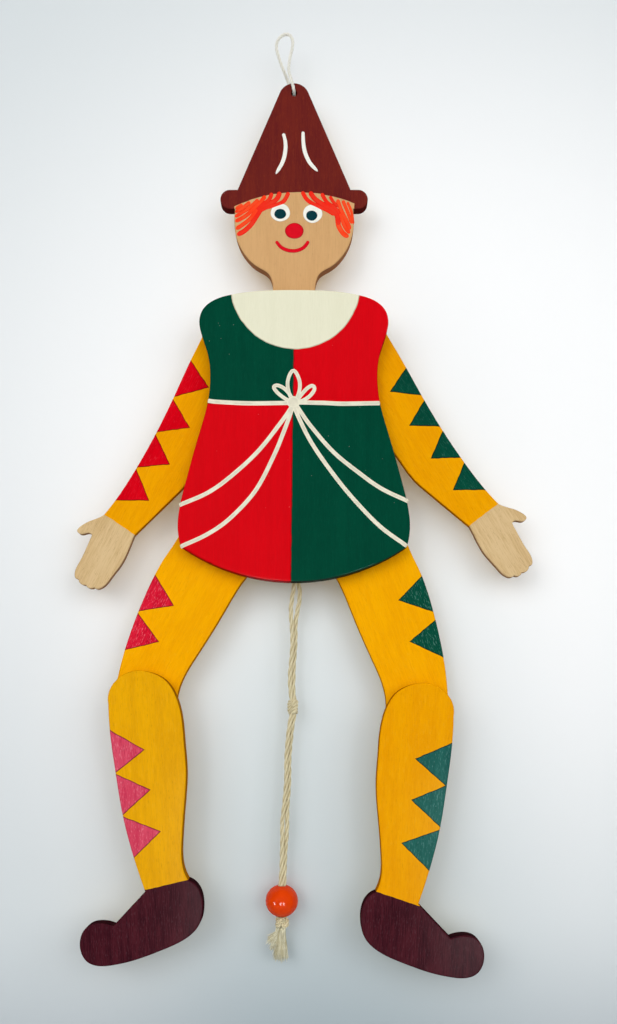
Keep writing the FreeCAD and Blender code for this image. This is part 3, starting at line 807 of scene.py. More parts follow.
def brush_stroke(
    name: str,
    points: tuple[Point, ...],
    width: float,
    board: bpy.types.Object,
    front: float,
    material: bpy.types.Material,
    thickness: float = 0.12,
    ends: tuple[float, float] = (0.5, 0.5),
    swell: float = 0.0,
) -> bpy.types.Object:
    """A raised stroke of enamel along a path on a board.

    Across the stroke the film's height is its thickness times the square root of one less the
    fourth power of the share of the half width. The half width falls to nothing at both ends as
    an ellipse does, over a length of ends times the width. The film's underside is sunk a little
    into the board.

    Args:
        name: Name of the piece.
        points: Points of the path in millimetres.
        width: Width of the stroke in millimetres.
        board: Board that it lies on.
        front: Level of the board's front in millimetres.
        material: The enamel.
        thickness: Greatest height of the film in millimetres.
        ends: Length of each rounded end as a share of the width.
        swell: Share by which the stroke is wider half way.

    Returns:
        The piece.
    """
    stations, arch, narrowest, sunk = 72, 9, 0.02, 0.08
    crowded = 0.5 - 0.5 * np.cos(np.pi * np.linspace(0, 1, stations))
    path = at_shares(smooth_path(np.array(points, float), 400) * MM, crowded)
    way = unit(np.gradient(path, axis=0))
    side = np.stack([-way[:, 1], way[:, 0]], axis=1)
    along = run_along(path)
    length = along[-1]
    near = np.clip(along / (ends[0] * width * MM), 0.0, 1.0)
    far = np.clip((length - along) / (ends[1] * width * MM), 0.0, 1.0)
    round_off = np.sqrt(1 - (1 - near) ** 2) * np.sqrt(1 - (1 - far) ** 2)
    round_off = np.maximum(round_off, narrowest)
    half = width / 2 * MM * round_off * (1 + swell * np.sin(np.pi * along / length))
    top = np.cos(np.linspace(0, np.pi, arch))
    offset = np.concatenate([top, [-0.96, 0.96]])
    film = np.sqrt(np.maximum(0, 1 - top**4)) * thickness
    height = np.concatenate([film, [-sunk, -sunk]]) * MM
    flat = path[:, None, :] + side[:, None, :] * (half[:, None] * offset)[:, :, None]
    level = laid_on(board, flat.reshape(-1, 2), front * MM).reshape(flat.shape[:2])
    lift = np.where(height > 0, height * np.sqrt(round_off)[:, None], height)
    rings = np.stack([flat[:, :, 0], level - lift, flat[:, :, 1]], axis=-1)
    return skin(rings[None], name, material, "edge", np.abs(offset) ** 3)


def enamel_dot(
    name: str,
    centre: Point,
    radii: Point,
    front: float,
    material: bpy.types.Material,
    thickness: float = 0.14,
    base: float = 0.08,
) -> bpy.types.Object:
    """A raised oval of enamel on a flat board.

    The film's rings shrink to the middle, and its height is its thickness times the square root
    of one less the sixth power of the ring's share of the oval. The hand that drew it wobbled by
    about a hundredth.

    Args:
        name: Name of the piece.
        centre: Middle of the oval in millimetres.
        radii: Half its width and half its height in millimetres.
        front: Level that it lies on in millimetres.
        material: The enamel.
        thickness: Greatest height in millimetres.
        base: How far it reaches into what is under it.

    Returns:
        The piece.
    """
    angle = np.linspace(0, 2 * np.pi, 64, endpoint=False)
    share = np.concatenate([[0.97], np.cos(np.linspace(0, np.pi / 2, 10)[:-1]), [0.04]])
    height = np.concatenate([[-base], np.sqrt(1 - share[1:] ** 6) * thickness])
    wobble = 1 + 0.012 * np.sin(3 * angle + centre[0]) + 0.008 * np.sin(5 * angle + centre[1])
    x = centre[0] + share[:, None] * radii[0] * np.cos(angle) * wobble
    z = centre[1] + share[:, None] * radii[1] * np.sin(angle) * wobble
    y = np.broadcast_to((front - height)[:, None], x.shape)
    rings = np.stack([x, y, z], axis=-1)[None] * MM
    return skin(rings, name, material, "edge", share[:, None] ** 6)


def spline_points(curve: bpy.types.Object, count: int) -> np.ndarray:
    """Points read from a curve's own spline.

    Args:
        curve: Curve object with no bevel.
        count: Number of points wanted.

    Returns:
        The points in metres, evenly spaced.
    """
    graph = bpy.context.evaluated_depsgraph_get()
    line = bpy.data.meshes.new_from_object(curve.evaluated_get(graph))
    points = np.zeros(len(line.vertices) * 3, np.float32)
    line.vertices.foreach_get("co", points)
    bpy.data.meshes.remove(line)
    return evenly(points.reshape(-1, 3).astype(float), count)


def route_points(route: Route, count: int) -> np.ndarray:
    """The smooth line of a cord, from the control points of its NURBS spline.

    Args:
        route: Control points in millimetres.
        count: Number of points wanted.

    Returns:
        Points of the line in metres.
    """
    data = bpy.data.curves.new("route", "CURVE")
    data.dimensions = "3D"
    data.resolution_u = 16
    spline = data.splines.new("NURBS")
    spline.points.add(len(route) - 1)
    spline.points.foreach_set("co", [v for x, y, z in route for v in (x * MM, y * MM, z * MM, 1.0)])
    spline.order_u = 3
    spline.use_endpoint_u = True
    made = placed("route", data)
    points = spline_points(made, count)
    bpy.data.objects.remove(made)
    bpy.data.curves.remove(data)
    return points


def plied(
    line: np.ndarray,
    radius: float,
    name: str,
    material: bpy.types.Material,
    pitch: float = 7.0,
    plies: int = 3,
    sides: int = 10,
) -> bpy.types.Object:
    """A cord of plies laid round a line.

    Each ply's middle goes round the line as a helix, and a ring of points goes round that
    middle. With p plies in a cord of radius r, a ply's radius is 0.54 r and its helix is
    0.46 r from the line. The frame along the line comes from one skew direction made square to
    it. A point gets painted shade as far as it faces the line, in the creases where the plies meet.

    Args:
        line: Points of the line in metres.
        radius: Radius of the cord in millimetres.
        name: Name of the piece.
        material: Its finish.
        pitch: Length of one turn of the plies in millimetres.
        plies: Number of plies.
        sides: Points round one ply.

    Returns:
        The piece.
    """
    way = unit(np.gradient(line, axis=0))
    skew = np.array([0.62, 0.55, 0.56])
    normal = unit(skew - (way @ skew)[:, None] * way)
    binormal = np.cross(way, normal)
    turns = run_along(line) / (pitch * MM)
    phase = 2 * np.pi * (turns[None, :] + np.arange(plies)[:, None] / plies)
    outward = np.cos(phase)[..., None] * normal + np.sin(phase)[..., None] * binormal
    middle = line + outward * (0.46 * radius * MM)
    round_it = circles(normal, binormal, sides)
    rings = middle[:, :, None] + round_it * (0.54 * radius * MM)
    facing = (round_it * outward[:, :, None]).sum(axis=-1)
    # Painted shade in the creases where the plies meet.
    crease_shade_and_tone = np.clip(0.5 - 0.8 * facing, 0.0, 1.0) * 0.8
    return skin(rings, name, material, "crease_shade_and_tone", crease_shade_and_tone)


# --------------------------------------------------------------------- parts


def finish_node(node: str, material: bpy.types.Material) -> None:
    """Give a node of the CAD model its finish.

    Args:
        node: Name of the node.
        material: The finish.
    """
    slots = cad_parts[node].data.materials
    slots.clear()
    slots.append(material)


@dataclass
class Boards:
    """The sawn boards, which keep the shapes of the CAD model.

    rim is how far the paint stays off the back, where the edge is rounded. The shins' backs are
    level with the torso's.
    """

    torso_back: float = -3.0
    head_back: float = 3.0
    arm_back: float = 1.3
    thigh_back: float = 3.3
    rim: float = 0.45

    def torso(self) -> BoardFinish:
        """Two red and two green quarters under a cream collar."""
        upright = HalfPlane((3.7, -164.2), (2.75, -259.2))
        level = HalfPlane((-39.0, -190.5), (46.7, -190.5))
        return BoardFinish(
            "enamelled beech torso", 0.0, (3.0, -200.0), GREEN_ENAMEL,
            (
                Patch(Quarters(upright, level), RED_ENAMEL, 0.03),
                Patch(Disc((4.6, -130.9), 32.7), CREAM_ENAMEL, 0.05),
                Patch(Back(self.torso_back - self.rim), BARE_BACK),
            ),
            dust=0.2, gloss=0.12,
        )

    def head(self) -> BoardFinish:
        """A stained hat over a clear face."""
        return BoardFinish(
            "stained and clear beech head", 0.0, (4.0, -90.0), CLEAR_FACE,
            (
                Patch(Disc((5.67, -156.3), 75.7, outside=True), HAT_STAIN),
                Patch(
                    Zigzag((
                        ((-26.6, -60.0), (-26.6, -91.8), (-60.0, -91.8)),
                        ((34.5, -60.0), (34.5, -90.2), (60.0, -90.2)),
                    )),
                    HAT_STAIN,
                ),
                Patch(Back(self.head_back - self.rim), BARE_BACK),
            ),
        )

    def limb(
        self, part: str, turn: float, at: Point, base: Coat, back: float, zigzag: Coat,
        triangles: tuple[Triangle, ...], *ends: Patch,
    ) -> BoardFinish:
        """A yellow limb with a zigzag along its outer edge, and a hand or a shoe.

        Args:
            part: The limb's name.
            turn: Direction of the grain in degrees from upright.
            at: Middle of the grain's pattern.
            base: The yellow.
            back: Level of the board's back.
            zigzag: Paint of the zigzag.
            triangles: Its triangles.
            *ends: The hand or the shoe, where the limb has one.

        Returns:
            The finish.
        """
        painted = Patch(Zigzag(triangles), zigzag, 0.06)
        bare = Patch(Back(back - self.rim), BARE_BACK)
        return BoardFinish(f"yellow {part}", turn, at, base, (painted, *ends, bare))

    def finishes(self) -> dict[str, BoardFinish]:
        """The finish of each board by its node."""
        return {
            "torso_board": self.torso(),
            "head_hat_board": self.head(),
            "arm_left": self.limb(
                "left arm", 27.0, (-60.0, -200.0), DEEP_YELLOW, self.arm_back, SLEEVE_RED,
                (
                    ((-48.47, -166.51), (-39.56, -179.95), (-56.87, -184.64)),
                    ((-57.48, -186.42), (-49.18, -200.42), (-65.62, -202.76)),
                    ((-66.44, -204.19), (-59.46, -219.15), (-75.55, -220.63)),
                    ((-76.52, -221.45), (-69.95, -237.58), (-86.65, -237.48)),
                ),
                Patch(HalfPlane((-76.82, -255.4), (-92.5, -244.86)), BARE_HAND),
            ),
            "arm_right": self.limb(
                "right arm", -31.0, (70.0, -200.0), DEEP_YELLOW, self.arm_back, SLEEVE_GREEN,
                (
                    ((60.99, -169.67), (52.69, -182.14), (69.54, -183.98)),
                    ((70.26, -186.22), (62.42, -199.35), (79.01, -199.86)),
                    ((79.67, -201.79), (73.36, -216.2), (89.25, -215.64)),
                    ((90.67, -217.88), (84.82, -232.29), (101.87, -232.19)),
                ),
                Patch(HalfPlane((107.47, -239.42), (92.55, -251.07)), BARE_HAND),
            ),
            "thigh_left": self.limb(
                "left thigh", 27.0, (-50.0, -300.0), YELLOW, self.thigh_back, THIGH_RED_PAINTED_SHEEN,
                (
                    ((-66.95, -275.16), (-57.22, -291.19), (-75.14, -293.89)),
                    ((-75.65, -294.91), (-64.91, -309.57), (-82.42, -313.8)),
                ),
            ),
            "thigh_right": self.limb(
                "right thigh", -20.0, (55.0, -300.0), YELLOW, self.thigh_back, THIGH_GREEN_PAINTED_SHEEN,
                (
                    ((69.64, -275.16), (56.87, -288.44), (75.8, -294.6)),
                    ((76.72, -297.71), (62.57, -309.42), (81.05, -318.02)),
                ),
            ),
            "shin_left": self.limb(
                "left shin", -3.0, (-65.0, -380.0), DULL_YELLOW, self.torso_back, SHIN_PINK_PAINTED_SHEEN,
                (
                    ((-87.85, -354.4), (-70.8, -364.1), (-84.8, -375.3)),
                    ((-84.8, -376.35), (-67.75, -384.2), (-81.3, -396.45)),
                    ((-81.0, -397.75), (-62.65, -404.9), (-75.9, -418.2)),
                ),
                Patch(HalfPlane((-49.05, -429.2), (-70.8, -434.3)), SHOE_STAIN),
            ),
            "shin_right": self.limb(
                "right shin", 3.0, (60.0, -380.0), DEEP_YELLOW, self.torso_back, SHIN_GREEN_PAINTED_SHEEN,
                (
                    ((82.55, -360.95), (64.55, -368.55), (79.3, -381.75)),
                    ((79.75, -382.1), (62.5, -389.15), (77.15, -402.9)),
                    ((77.05, -404.0), (57.65, -410.8), (71.75, -424.9)),
                ),
                Patch(HalfPlane((66.5, -442.25), (44.85, -435.0)), SHOE_STAIN),
            ),
        }

    def dress(self) -> None:
        """Give each board of the CAD model its finish."""
        for node, finish in self.finishes().items():
            finish_node(node, finish.material())
            log.info("board %s: %s", node, finish.name)


@dataclass
class Pegs:
    """Turned beech pegs, glued into the front boards, which the limbs turn on."""

    nodes: tuple[str, ...] = (
        "shoulder_peg_left", "shoulder_peg_right", "hip_peg_left", "hip_peg_right",
        "knee_peg_left", "knee_peg_right",
    )

    def dress(self) -> None:
        """Give the pegs bare turned wood."""
        finish = BoardFinish("turned beech pegs", 90.0, (0.0, -250.0), BARE_BACK, ())
        material = finish.material()
        for node in self.nodes:
            finish_node(node, material)
        log.info("pegs: %d", len(self.nodes))


@dataclass
class TorsoPainting:
    """Cream sash, bow and two pairs of painted cords on the torso."""

    front: float = -11.0
    sash: tuple[Point, ...] = (
        (-39.3, -189.4), (-33.9, -190.0), (-19.0, -190.7), (-0.6, -190.5), (3.8, -190.25),
        (18.7, -190.5), (27.5, -190.9), (42.5, -190.7), (47.0, -190.6),
    )
    petals: tuple[tuple[Point, ...], ...] = (
        (
            (3.6, -190.2), (1.4, -185.4), (0.75, -180.4), (1.9, -176.2), (3.65, -174.3),
            (5.5, -176.3), (6.85, -180.4), (6.5, -185.0), (4.6, -190.0),
        ),
        (
            (2.4, -189.9), (-1.2, -187.9), (-4.5, -185.2), (-6.2, -182.6), (-4.4, -181.7),
            (-1.2, -183.1), (1.6, -186.0), (3.4, -189.4),
        ),
        (
            (5.2, -189.6), (8.0, -185.9), (10.8, -183.0), (13.2, -181.9), (14.2, -183.6),
            (12.3, -186.6), (9.2, -188.9), (5.6, -190.1),
        ),
    )
    cords: tuple[tuple[Point, ...], ...] = (
        (
            (3.1, -190.4), (2.4, -193.0), (-2.85, -200.6), (-14.3, -214.95), (-28.1, -227.6),
            (-39.6, -235.65), (-53.6, -241.7),
        ),
        (
            (3.3, -190.6), (2.6, -194.5), (-1.1, -204.65), (-6.3, -217.25), (-15.45, -234.5),
            (-28.1, -248.25), (-39.6, -256.3), (-53.0, -262.5),
        ),
        (
            (4.2, -190.4), (5.6, -192.4), (12.1, -201.75), (23.55, -214.95), (36.2, -225.3),
            (47.65, -233.35), (61.2, -239.8),
        ),
        (
            (4.1, -190.6), (4.9, -194.6), (12.65, -210.35), (24.7, -227.6), (36.2, -241.35),
            (47.65, -252.85), (60.5, -262.2),
        ),
    )

    def build(self) -> None:
        """Paint the strokes on the torso."""
        cream = BrushedEnamel("cream brush enamel", "#F2ECD4", "#CFC8B0", "#B9A68C", 0.7)
        enamel = cream.material()
        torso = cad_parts["torso_board"]
        strokes = [("sash", self.sash, 2.2, (0.1, 0.1))]
        strokes += [(f"bow_loop_{k}", path, 1.9, (0.5, 0.5)) for k, path in enumerate(self.petals)]
        strokes += [
            (f"painted_cord_{k}", path, 2.1, (0.5, 0.1)) for k, path in enumerate(self.cords)
        ]
        # Each stroke is a little thicker than the one before, so that none is level with another
        # where they cross.
        pieces = [
            brush_stroke(name, path, width, torso, self.front, enamel, 0.12 + 0.004 * k, ends)
            for k, (name, path, width, ends) in enumerate(strokes)
        ]
        pieces.append(enamel_dot("bow_knot", (3.6, -190.1), (3.3, 3.0), self.front, enamel, 0.2))
        for piece in pieces:
            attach(piece, "trunk")
        log.info("torso painting: %d strokes", len(pieces))


@dataclass
class FacePainting:
    """Eyes, nose, mouth and hair of the doll's face, and two strokes on its hat."""

    front: float = -3.0
    mouth: tuple[Point, ...] = (
        (-5.4, -105.5), (-2.6, -108.7), (1.2, -110.3), (5.3, -110.3), (8.9, -108.6), (11.3, -105.5),
    )
    hat_strokes: tuple[tuple[Point, ...], ...] = (
        ((-1.6, -50.6), (-0.6, -55.0), (-0.6, -59.5), (-1.9, -65.0), (-5.4, -71.3)),
        ((8.4, -49.7), (8.6, -55.5), (9.5, -60.5), (11.9, -65.6), (15.9, -70.0)),
    )
    red_hair: tuple[tuple[float, tuple[Point, ...]], ...] = (
        (2.1, ((1.2, -80.6), (-1.4, -85.1), (-5.6, -87.2), (-10.3, -88.4), (-13.6, -90.2))),
        (2.5, ((-3.2, -80.4), (-5.0, -84.1), (-8.8, -86.6), (-12.4, -88.6), (-14.9, -92.3),
               (-18.0, -97.0), (-21.6, -100.4), (-25.2, -102.4))),
        (2.1, ((-7.4, -80.9), (-8.9, -84.4), (-12.4, -87.0), (-15.4, -90.0))),
        (2.1, ((7.9, -80.2), (10.6, -84.5), (15.4, -87.4), (20.8, -89.8), (24.6, -92.2))),
        (2.5, ((11.8, -80.3), (14.5, -84.0), (19.0, -87.0), (23.3, -89.3), (25.8, -92.9),
               (26.6, -97.8))),
        (2.0, ((17.8, -81.1), (20.6, -85.7), (24.4, -88.4), (27.7, -92.3))),
        (1.7, ((22.0, -82.6), (24.4, -86.2), (27.4, -88.2))),
    )
    orange_hair: tuple[tuple[float, tuple[Point, ...]], ...] = (
        (2.1, ((-12.6, -86.6), (-15.2, -89.9), (-18.8, -94.3), (-22.6, -97.3), (-25.8, -99.4))),
        (2.1, ((-10.7, -82.4), (-13.4, -85.8), (-16.6, -88.8), (-20.6, -92.5), (-26.1, -95.6))),
        (1.9, ((-14.3, -84.3), (-17.3, -87.1), (-20.9, -89.9), (-26.3, -93.2))),
        (1.9, ((-18.5, -85.5), (-21.8, -88.2), (-26.2, -90.8))),
        (1.5, ((-22.4, -86.8), (-26.0, -89.0))),
        (2.5, ((25.9, -93.2), (26.6, -97.8), (28.9, -101.6), (31.6, -103.4))),
        (2.1, ((27.3, -91.2), (29.6, -97.8), (32.2, -101.6))),
        (2.0, ((25.9, -84.3), (27.8, -89.6), (30.4, -94.8), (32.5, -99.6))),
        (1.8, ((28.6, -84.8), (31.0, -90.4), (33.3, -96.6))),
        (1.4, ((31.0, -85.6), (33.2, -91.0), (34.0, -96.6))),
    )

    def build(self) -> None:
        """Paint the face and the hat."""
        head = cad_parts["head_hat_board"]
        white, red_hair, orange_hair, red, dark = (
            BrushedEnamel(f"{name} brush enamel", *look).material()
            for name, *look in (
                ("white", "#F8F7EC", "#DAD6C8", "#B7A79A", 0.35),
                ("orange-red", "#F82412", "#EE3E24", "#CC180C", 0.7, 0.4),
                ("orange", "#FF3C14", "#F85A2C", "#DC240E", 0.7),
                ("carmine", "#E4041E", "#D2001A", "#8A0014", 0.5, 0.2),
                ("dark teal", "#06353D", "#0A444A", "#062A30", 0.3),
            )
        )
        # The pupils lie on the whites, which are about 0.13 mm thick there.
        on_white = self.front - 0.13
        pieces = [
            enamel_dot("eye_white_left", (-3.15, -90.95), (5.0, 4.6), self.front, white),
            enamel_dot("eye_white_right", (13.3, -91.55), (4.95, 4.7), self.front, white),
            enamel_dot("pupil_left", (-3.2, -91.7), (3.0, 2.55), on_white, dark, 0.08),
            enamel_dot("pupil_right", (12.85, -92.55), (2.85, 2.55), on_white, dark, 0.08),
            enamel_dot("nose", (3.98, -100.3), (4.75, 4.05), self.front, red, 0.2),
            brush_stroke("mouth", self.mouth, 1.7, head, self.front, red, swell=0.12),
        ]
        pieces += [
            brush_stroke(
                f"hat_stroke_{k}", path, 1.6, head, self.front, white, 0.13, (0.5, 2.0), swell=0.3
            )
            for k, path in enumerate(self.hat_strokes)
        ]
        strokes = [(*stroke, orange_hair) for stroke in self.orange_hair]
        strokes += [(*stroke, red_hair) for stroke in self.red_hair]
        pieces += [
            brush_stroke(
                f"hair_{k}", path, width, head, self.front, enamel, 0.15 + 0.012 * (k % 5),
                (0.5, 0.8),
            )
            for k, (width, path, enamel) in enumerate(strokes)
        ]
        for piece in pieces:
            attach(piece, "trunk")
        log.info("face painting: %d strokes", len(pieces))


@dataclass
class TiedKnot:
    """An overhand knot drawn tight: a cord that goes round itself.

    Its line is x = sin t + 2 sin 2t, y = cos t - 2 cos 2t and z = - sin 3t, for t once round,
    scaled to the knot's own size.
    """

    name: str
    centre: Point3
    size: Point3
    radius: float
    turn: float = 0.0
    tilt: float = 0.0
    strands: int = 1
    pitch: float = 5.0

    def line(self, shift: float) -> np.ndarray:
        """The knot's closed line, turned about its own axis.

        Args:
            shift: Turn of this strand against the first, in radians.

        Returns:
            Points in metres.
        """
        t = np.linspace(0, 2 * np.pi, 121) + 0.3
        flat = np.stack([np.sin(t) + 2 * np.sin(2 * t), np.cos(t) - 2 * np.cos(2 * t)], axis=1)
        turn = math.radians(self.turn) + shift
        spun = flat @ np.array(
            [[math.cos(turn), math.sin(turn)], [-math.sin(turn), math.cos(turn)]]
        )
        local = np.stack([spun[:, 0] / 3, spun[:, 1] / 3, -np.sin(3 * t)], axis=1)
        local *= [max(0.05, s / 2 - self.radius) for s in self.size]
        tilt = math.radians(self.tilt)
        y = local[:, 1] * math.cos(tilt) - local[:, 2] * math.sin(tilt)
        z = local[:, 1] * math.sin(tilt) + local[:, 2] * math.cos(tilt)
        return (np.stack([local[:, 0], y, z], axis=1) + self.centre) * MM

    def build(
        self, material: bpy.types.Material, body: str, slot: str, *nodes: str
    ) -> bpy.types.Object:
        """Tie the knot in place of its plain solid.

        Args:
            material: The cord's finish.
            body: Body that it rides on.
            slot: Not used.
            *nodes: CAD nodes that it replaces.

        Returns:
            The knot.
        """
        parts = [
            plied(
                self.line(k * np.pi / 3 / self.strands), self.radius, f"{self.name}_{k}", material,
                self.pitch, sides=8,
            )
            for k in range(self.strands)
        ]
        first = joined(self.name, parts)
        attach(first, body)
        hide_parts(*nodes)
        log.info("knot %s", self.name)
        return first


def joined(name: str, parts: list[bpy.types.Object]) -> bpy.types.Object:
    """Join pieces into one object.

    Args:
        name: Name of the result.
        parts: The pieces, all with the same material.

    Returns:
        The joined piece.
    """
    if len(parts) > 1:
        with bpy.context.temp_override(
            active_object=parts[0], selected_editable_objects=parts, selected_objects=parts
        ):
            bpy.ops.object.join()
    parts[0].name = name
    return parts[0]


# Middles of the knots where the arms' and the legs' strings meet the pull cord.
MEETING = {"arm": (3.85, 2.6, -176.38), "leg": (3.85, 5.3, -267.32)}


@dataclass
class PullCord:
    """The cord to pull: two strands, their knots, the bead and the frayed ends."""

    body: str = "pull_cord"
    slot: str = "cotton_cord"
    diameter: float = 2.0
    loose_radius: float = 1.2
    lengths: dict[str, float] = field(
        default_factory=lambda: {
            "arm": 160.9, "leg": 70.0, "lower_arm": 106.1, "lower_leg": 106.1,
        }
    )
    routes: dict[str, Route] = field(
        default_factory=lambda: {
            "arm": (
                (3.85, 2.6, -178.88), (4.15, 2.6, -209.4), (4.75, 2.6, -244.73),
                (4.9, 3.0, -270.0), (3.6, 3.8, -281.0), (1.9, 4.4, -291.5), (2.4, 4.9, -299.0),
                (2.9, 5.1, -306.0), (2.8, 5.2, -313.0), (2.0, 5.3, -321.0), (1.5, 5.4, -328.0),
                (1.8, 5.5, -334.0), (2.5, 5.6, -339.5),
            ),
            "leg": (
                (3.85, 5.3, -269.82), (4.3, 5.4, -273.5), (6.3, 5.6, -279.5), (6.9, 5.9, -286.0),
                (5.3, 6.4, -293.5), (4.3, 6.7, -300.0), (4.5, 6.8, -307.0), (4.1, 6.8, -314.0),
                (3.5, 6.8, -321.0), (3.4, 6.7, -328.0), (3.1, 6.5, -334.0), (3.9, 6.4, -339.5),
            ),
            "lower_arm": (
                (2.5, 5.6, -346.1), (1.6, 5.4, -350.5), (0.7, 5.1, -357.0), (0.1, 5.1, -364.0),
                (-0.35, 5.2, -371.0), (-0.25, 5.2, -379.0), (-0.7, 5.2, -387.0),
                (-1.5, 5.3, -395.0), (-2.5, 5.6, -402.5), (-2.3, 5.4, -410.0),
                (-2.5, 5.3, -418.0), (-2.7, 5.6, -427.0), (-3.5, 6.0, -435.5),
                (-3.7, 6.0, -451.9),
            ),
            "lower_leg": (
                (3.9, 6.4, -346.1), (3.1, 6.7, -350.5), (2.3, 6.8, -357.0), (1.6, 6.8, -364.0),
                (1.1, 6.8, -371.0), (1.2, 6.7, -379.0), (0.8, 6.7, -387.0), (0.1, 6.6, -395.0),
                (0.2, 6.4, -402.5), (-0.2, 6.6, -410.0), (-0.9, 6.7, -418.0),
                (-1.2, 6.5, -427.0), (-1.5, 6.0, -435.5), (-1.6, 6.0, -451.9),
            ),
        }
    )
    bead_centre: Point3 = (-2.65, 6.0, -443.4)
    bead_radius: float = 8.4
    bore_radius: float = 2.35
    mouth_radius: float = 0.35
    tassel_top: Point3 = (-2.65, 6.0, -457.3)
    fibres: int = 420
    tip_scatter: Point3 = (0.75, 0.8, 1.1)
    neck_scatter: Point3 = (0.75, 0.6, 0.2)
    locks: Route = (
        (-9.2, 5.6, -463.6), (-8.2, 6.4, -467.8), (-6.3, 5.7, -472.0), (-4.6, 6.6, -473.0),
        (-2.9, 5.7, -473.3), (-1.0, 6.3, -472.6),
    )

    def strands(self, material: bpy.types.Material) -> None:
        """Lay the four stretches of cord.

        Args:
            material: The cord's finish.
        """
        for name, route in self.routes.items():
            line = route_points(route, int(self.lengths[name] * 2.2))
            whole = f"pull_cord_{name}_strand"
            piece = plied(line, self.loose_radius, f"{whole}_cord", material, pitch=17.0)
            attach(piece, self.body)
            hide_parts(whole)
            log.info("strand %s: %.1f mm", name, self.lengths[name])

    def bead(self) -> None:
        """Turn the bead: a ball's arc, a rolled mouth at each end and the bore between them."""
        arc_end = math.asin((self.bore_radius + self.mouth_radius) / self.bead_radius)
        polar = np.linspace(arc_end, np.pi - arc_end, 49)
        radius = self.bead_radius * np.sin(polar)
        height = self.bead_radius * np.cos(polar)
        roll = np.linspace(0, np.pi / 2, 6)
        mouth_r = self.bore_radius + self.mouth_radius * (1 - np.sin(roll))
        mouth_z = height[0] - self.mouth_radius * (1 - np.cos(roll))
        profile_r = np.concatenate([radius, mouth_r[1:], mouth_r[::-1][:-1]])
        profile_z = np.concatenate([height, -mouth_z[1:], mouth_z[::-1][:-1]])
        angle = np.linspace(0, 2 * np.pi, 96, endpoint=False)
        x = self.bead_centre[0] + profile_r[:, None] * np.cos(angle)
        y = self.bead_centre[1] + profile_r[:, None] * np.sin(angle)
        z = self.bead_centre[2] + np.broadcast_to(profile_z[:, None], x.shape)
        points = np.stack([x, y, z], axis=-1) * MM
        index = np.arange(x.size).reshape(x.shape)
        side = np.roll(index, -1, axis=1)
        below = np.roll(index, -1, axis=0)
        corner = np.roll(below, -1, axis=1)
        quads = np.stack([index, below, corner, side], axis=-1).reshape(-1, 4)
        lacquer = DippedLacquer("orange dipped lacquer", "#E84406", "#D43004").material()
        piece = shell("lacquered_bead", points, quads.tolist(), lacquer)
        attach(piece, self.body)
        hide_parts("pull_bead")
        log.info("bead")

    def tassel(self, material: bpy.types.Material) -> None:
        """Fray the cord's ends into a fan of fibres.

        A fibre's middle goes from the neck to its end: the drop grows evenly and the way sideways
        with the power 1.35 of the share of its length, plus two waves that grow along it.

        Args:
            material: The cord's finish.
        """
        chance = np.random.default_rng(7)
        n = self.fibres
        group = np.arange(n) % len(self.locks)
        goal = np.array(self.locks)[group]
        # Fibres of one lock end within about a millimetre of each other.
        tip = goal + chance.normal(0, 1, (n, 3)) * self.tip_scatter
        neck = np.array(self.tassel_top) + chance.normal(0, 1, (n, 3)) * self.neck_scatter
        neck[:, 0] += 0.35 * (goal[:, 0] - self.tassel_top[0]) / 2
        t = np.linspace(0, 1, 17)[None, :, None]
        swing = 0.3 * np.sin(5.0 * t + 2.1 * group[:, None, None]) * t
        swing = swing + 0.12 * np.sin(9.0 * t + 6.3 * chance.random((n, 1, 1))) * t
        line = neck[:, None] + (tip - neck)[:, None] * t ** np.array([1.35, 1.3, 1.0])
        line = line + swing * np.array([1.0, 0.5, 0.0])
        way = unit(np.gradient(line, axis=1))
        across = unit(np.array([0.0, 1.0, 0.0]) - way[..., 1:2] * way)
        # A fibre is 0.1 to 0.2 mm in radius and half as thick at its tip.
        thick = (0.1 + 0.1 * chance.random((n, 1))) * (1 - 0.5 * t[:, :, 0] ** 3)
        ring = circles(across, np.cross(way, across), 5)
        rings = (line[:, :, None] + ring * thick[:, :, None, None]) * MM
        # Here the mark holds a random darker tone for each fibre, not painted shade.
        piece = skin(
            rings, "frayed_ends", material, "crease_shade_and_tone", chance.random((n, 1))[..., None] ** 2
        )
        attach(piece, self.body)
        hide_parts("pull_cord_tassel")
        log.info("tassel: %d fibres", n)

    def build(self) -> None:
        """Make the whole pull cord."""
        cotton = PliedCotton("natural plied cotton", "#E4DAB6", "#AE9C6C").material()
        self.strands(cotton)
        middle = TiedKnot("middle_knot", (3.2, 6.0, -342.8), (6.2, 5.6, 8.0), 1.1, 20.0, strands=2)
        middle.build(cotton, self.body, self.slot, "pull_cord_middle_knot")
        end = TiedKnot("end_knot", (-2.75, 6.0, -454.6), (7.9, 5.6, 5.8), 1.05, 75.0, strands=2)
        end.build(cotton, self.body, self.slot, "pull_cord_end_knot")
        for limb, turn in (("arm", 10.0), ("leg", 40.0)):
            knot = TiedKnot(f"{limb}_strings_knot", MEETING[limb], (5.6, 2.6, 5.0), 0.8, turn)
            knot.build(cotton, self.body, self.slot, f"{limb}_string_centre_knot")
        self.bead()
        self.tassel(PliedCotton("frayed cotton fibres", "#FAF7E0", "#C4B98C").material())


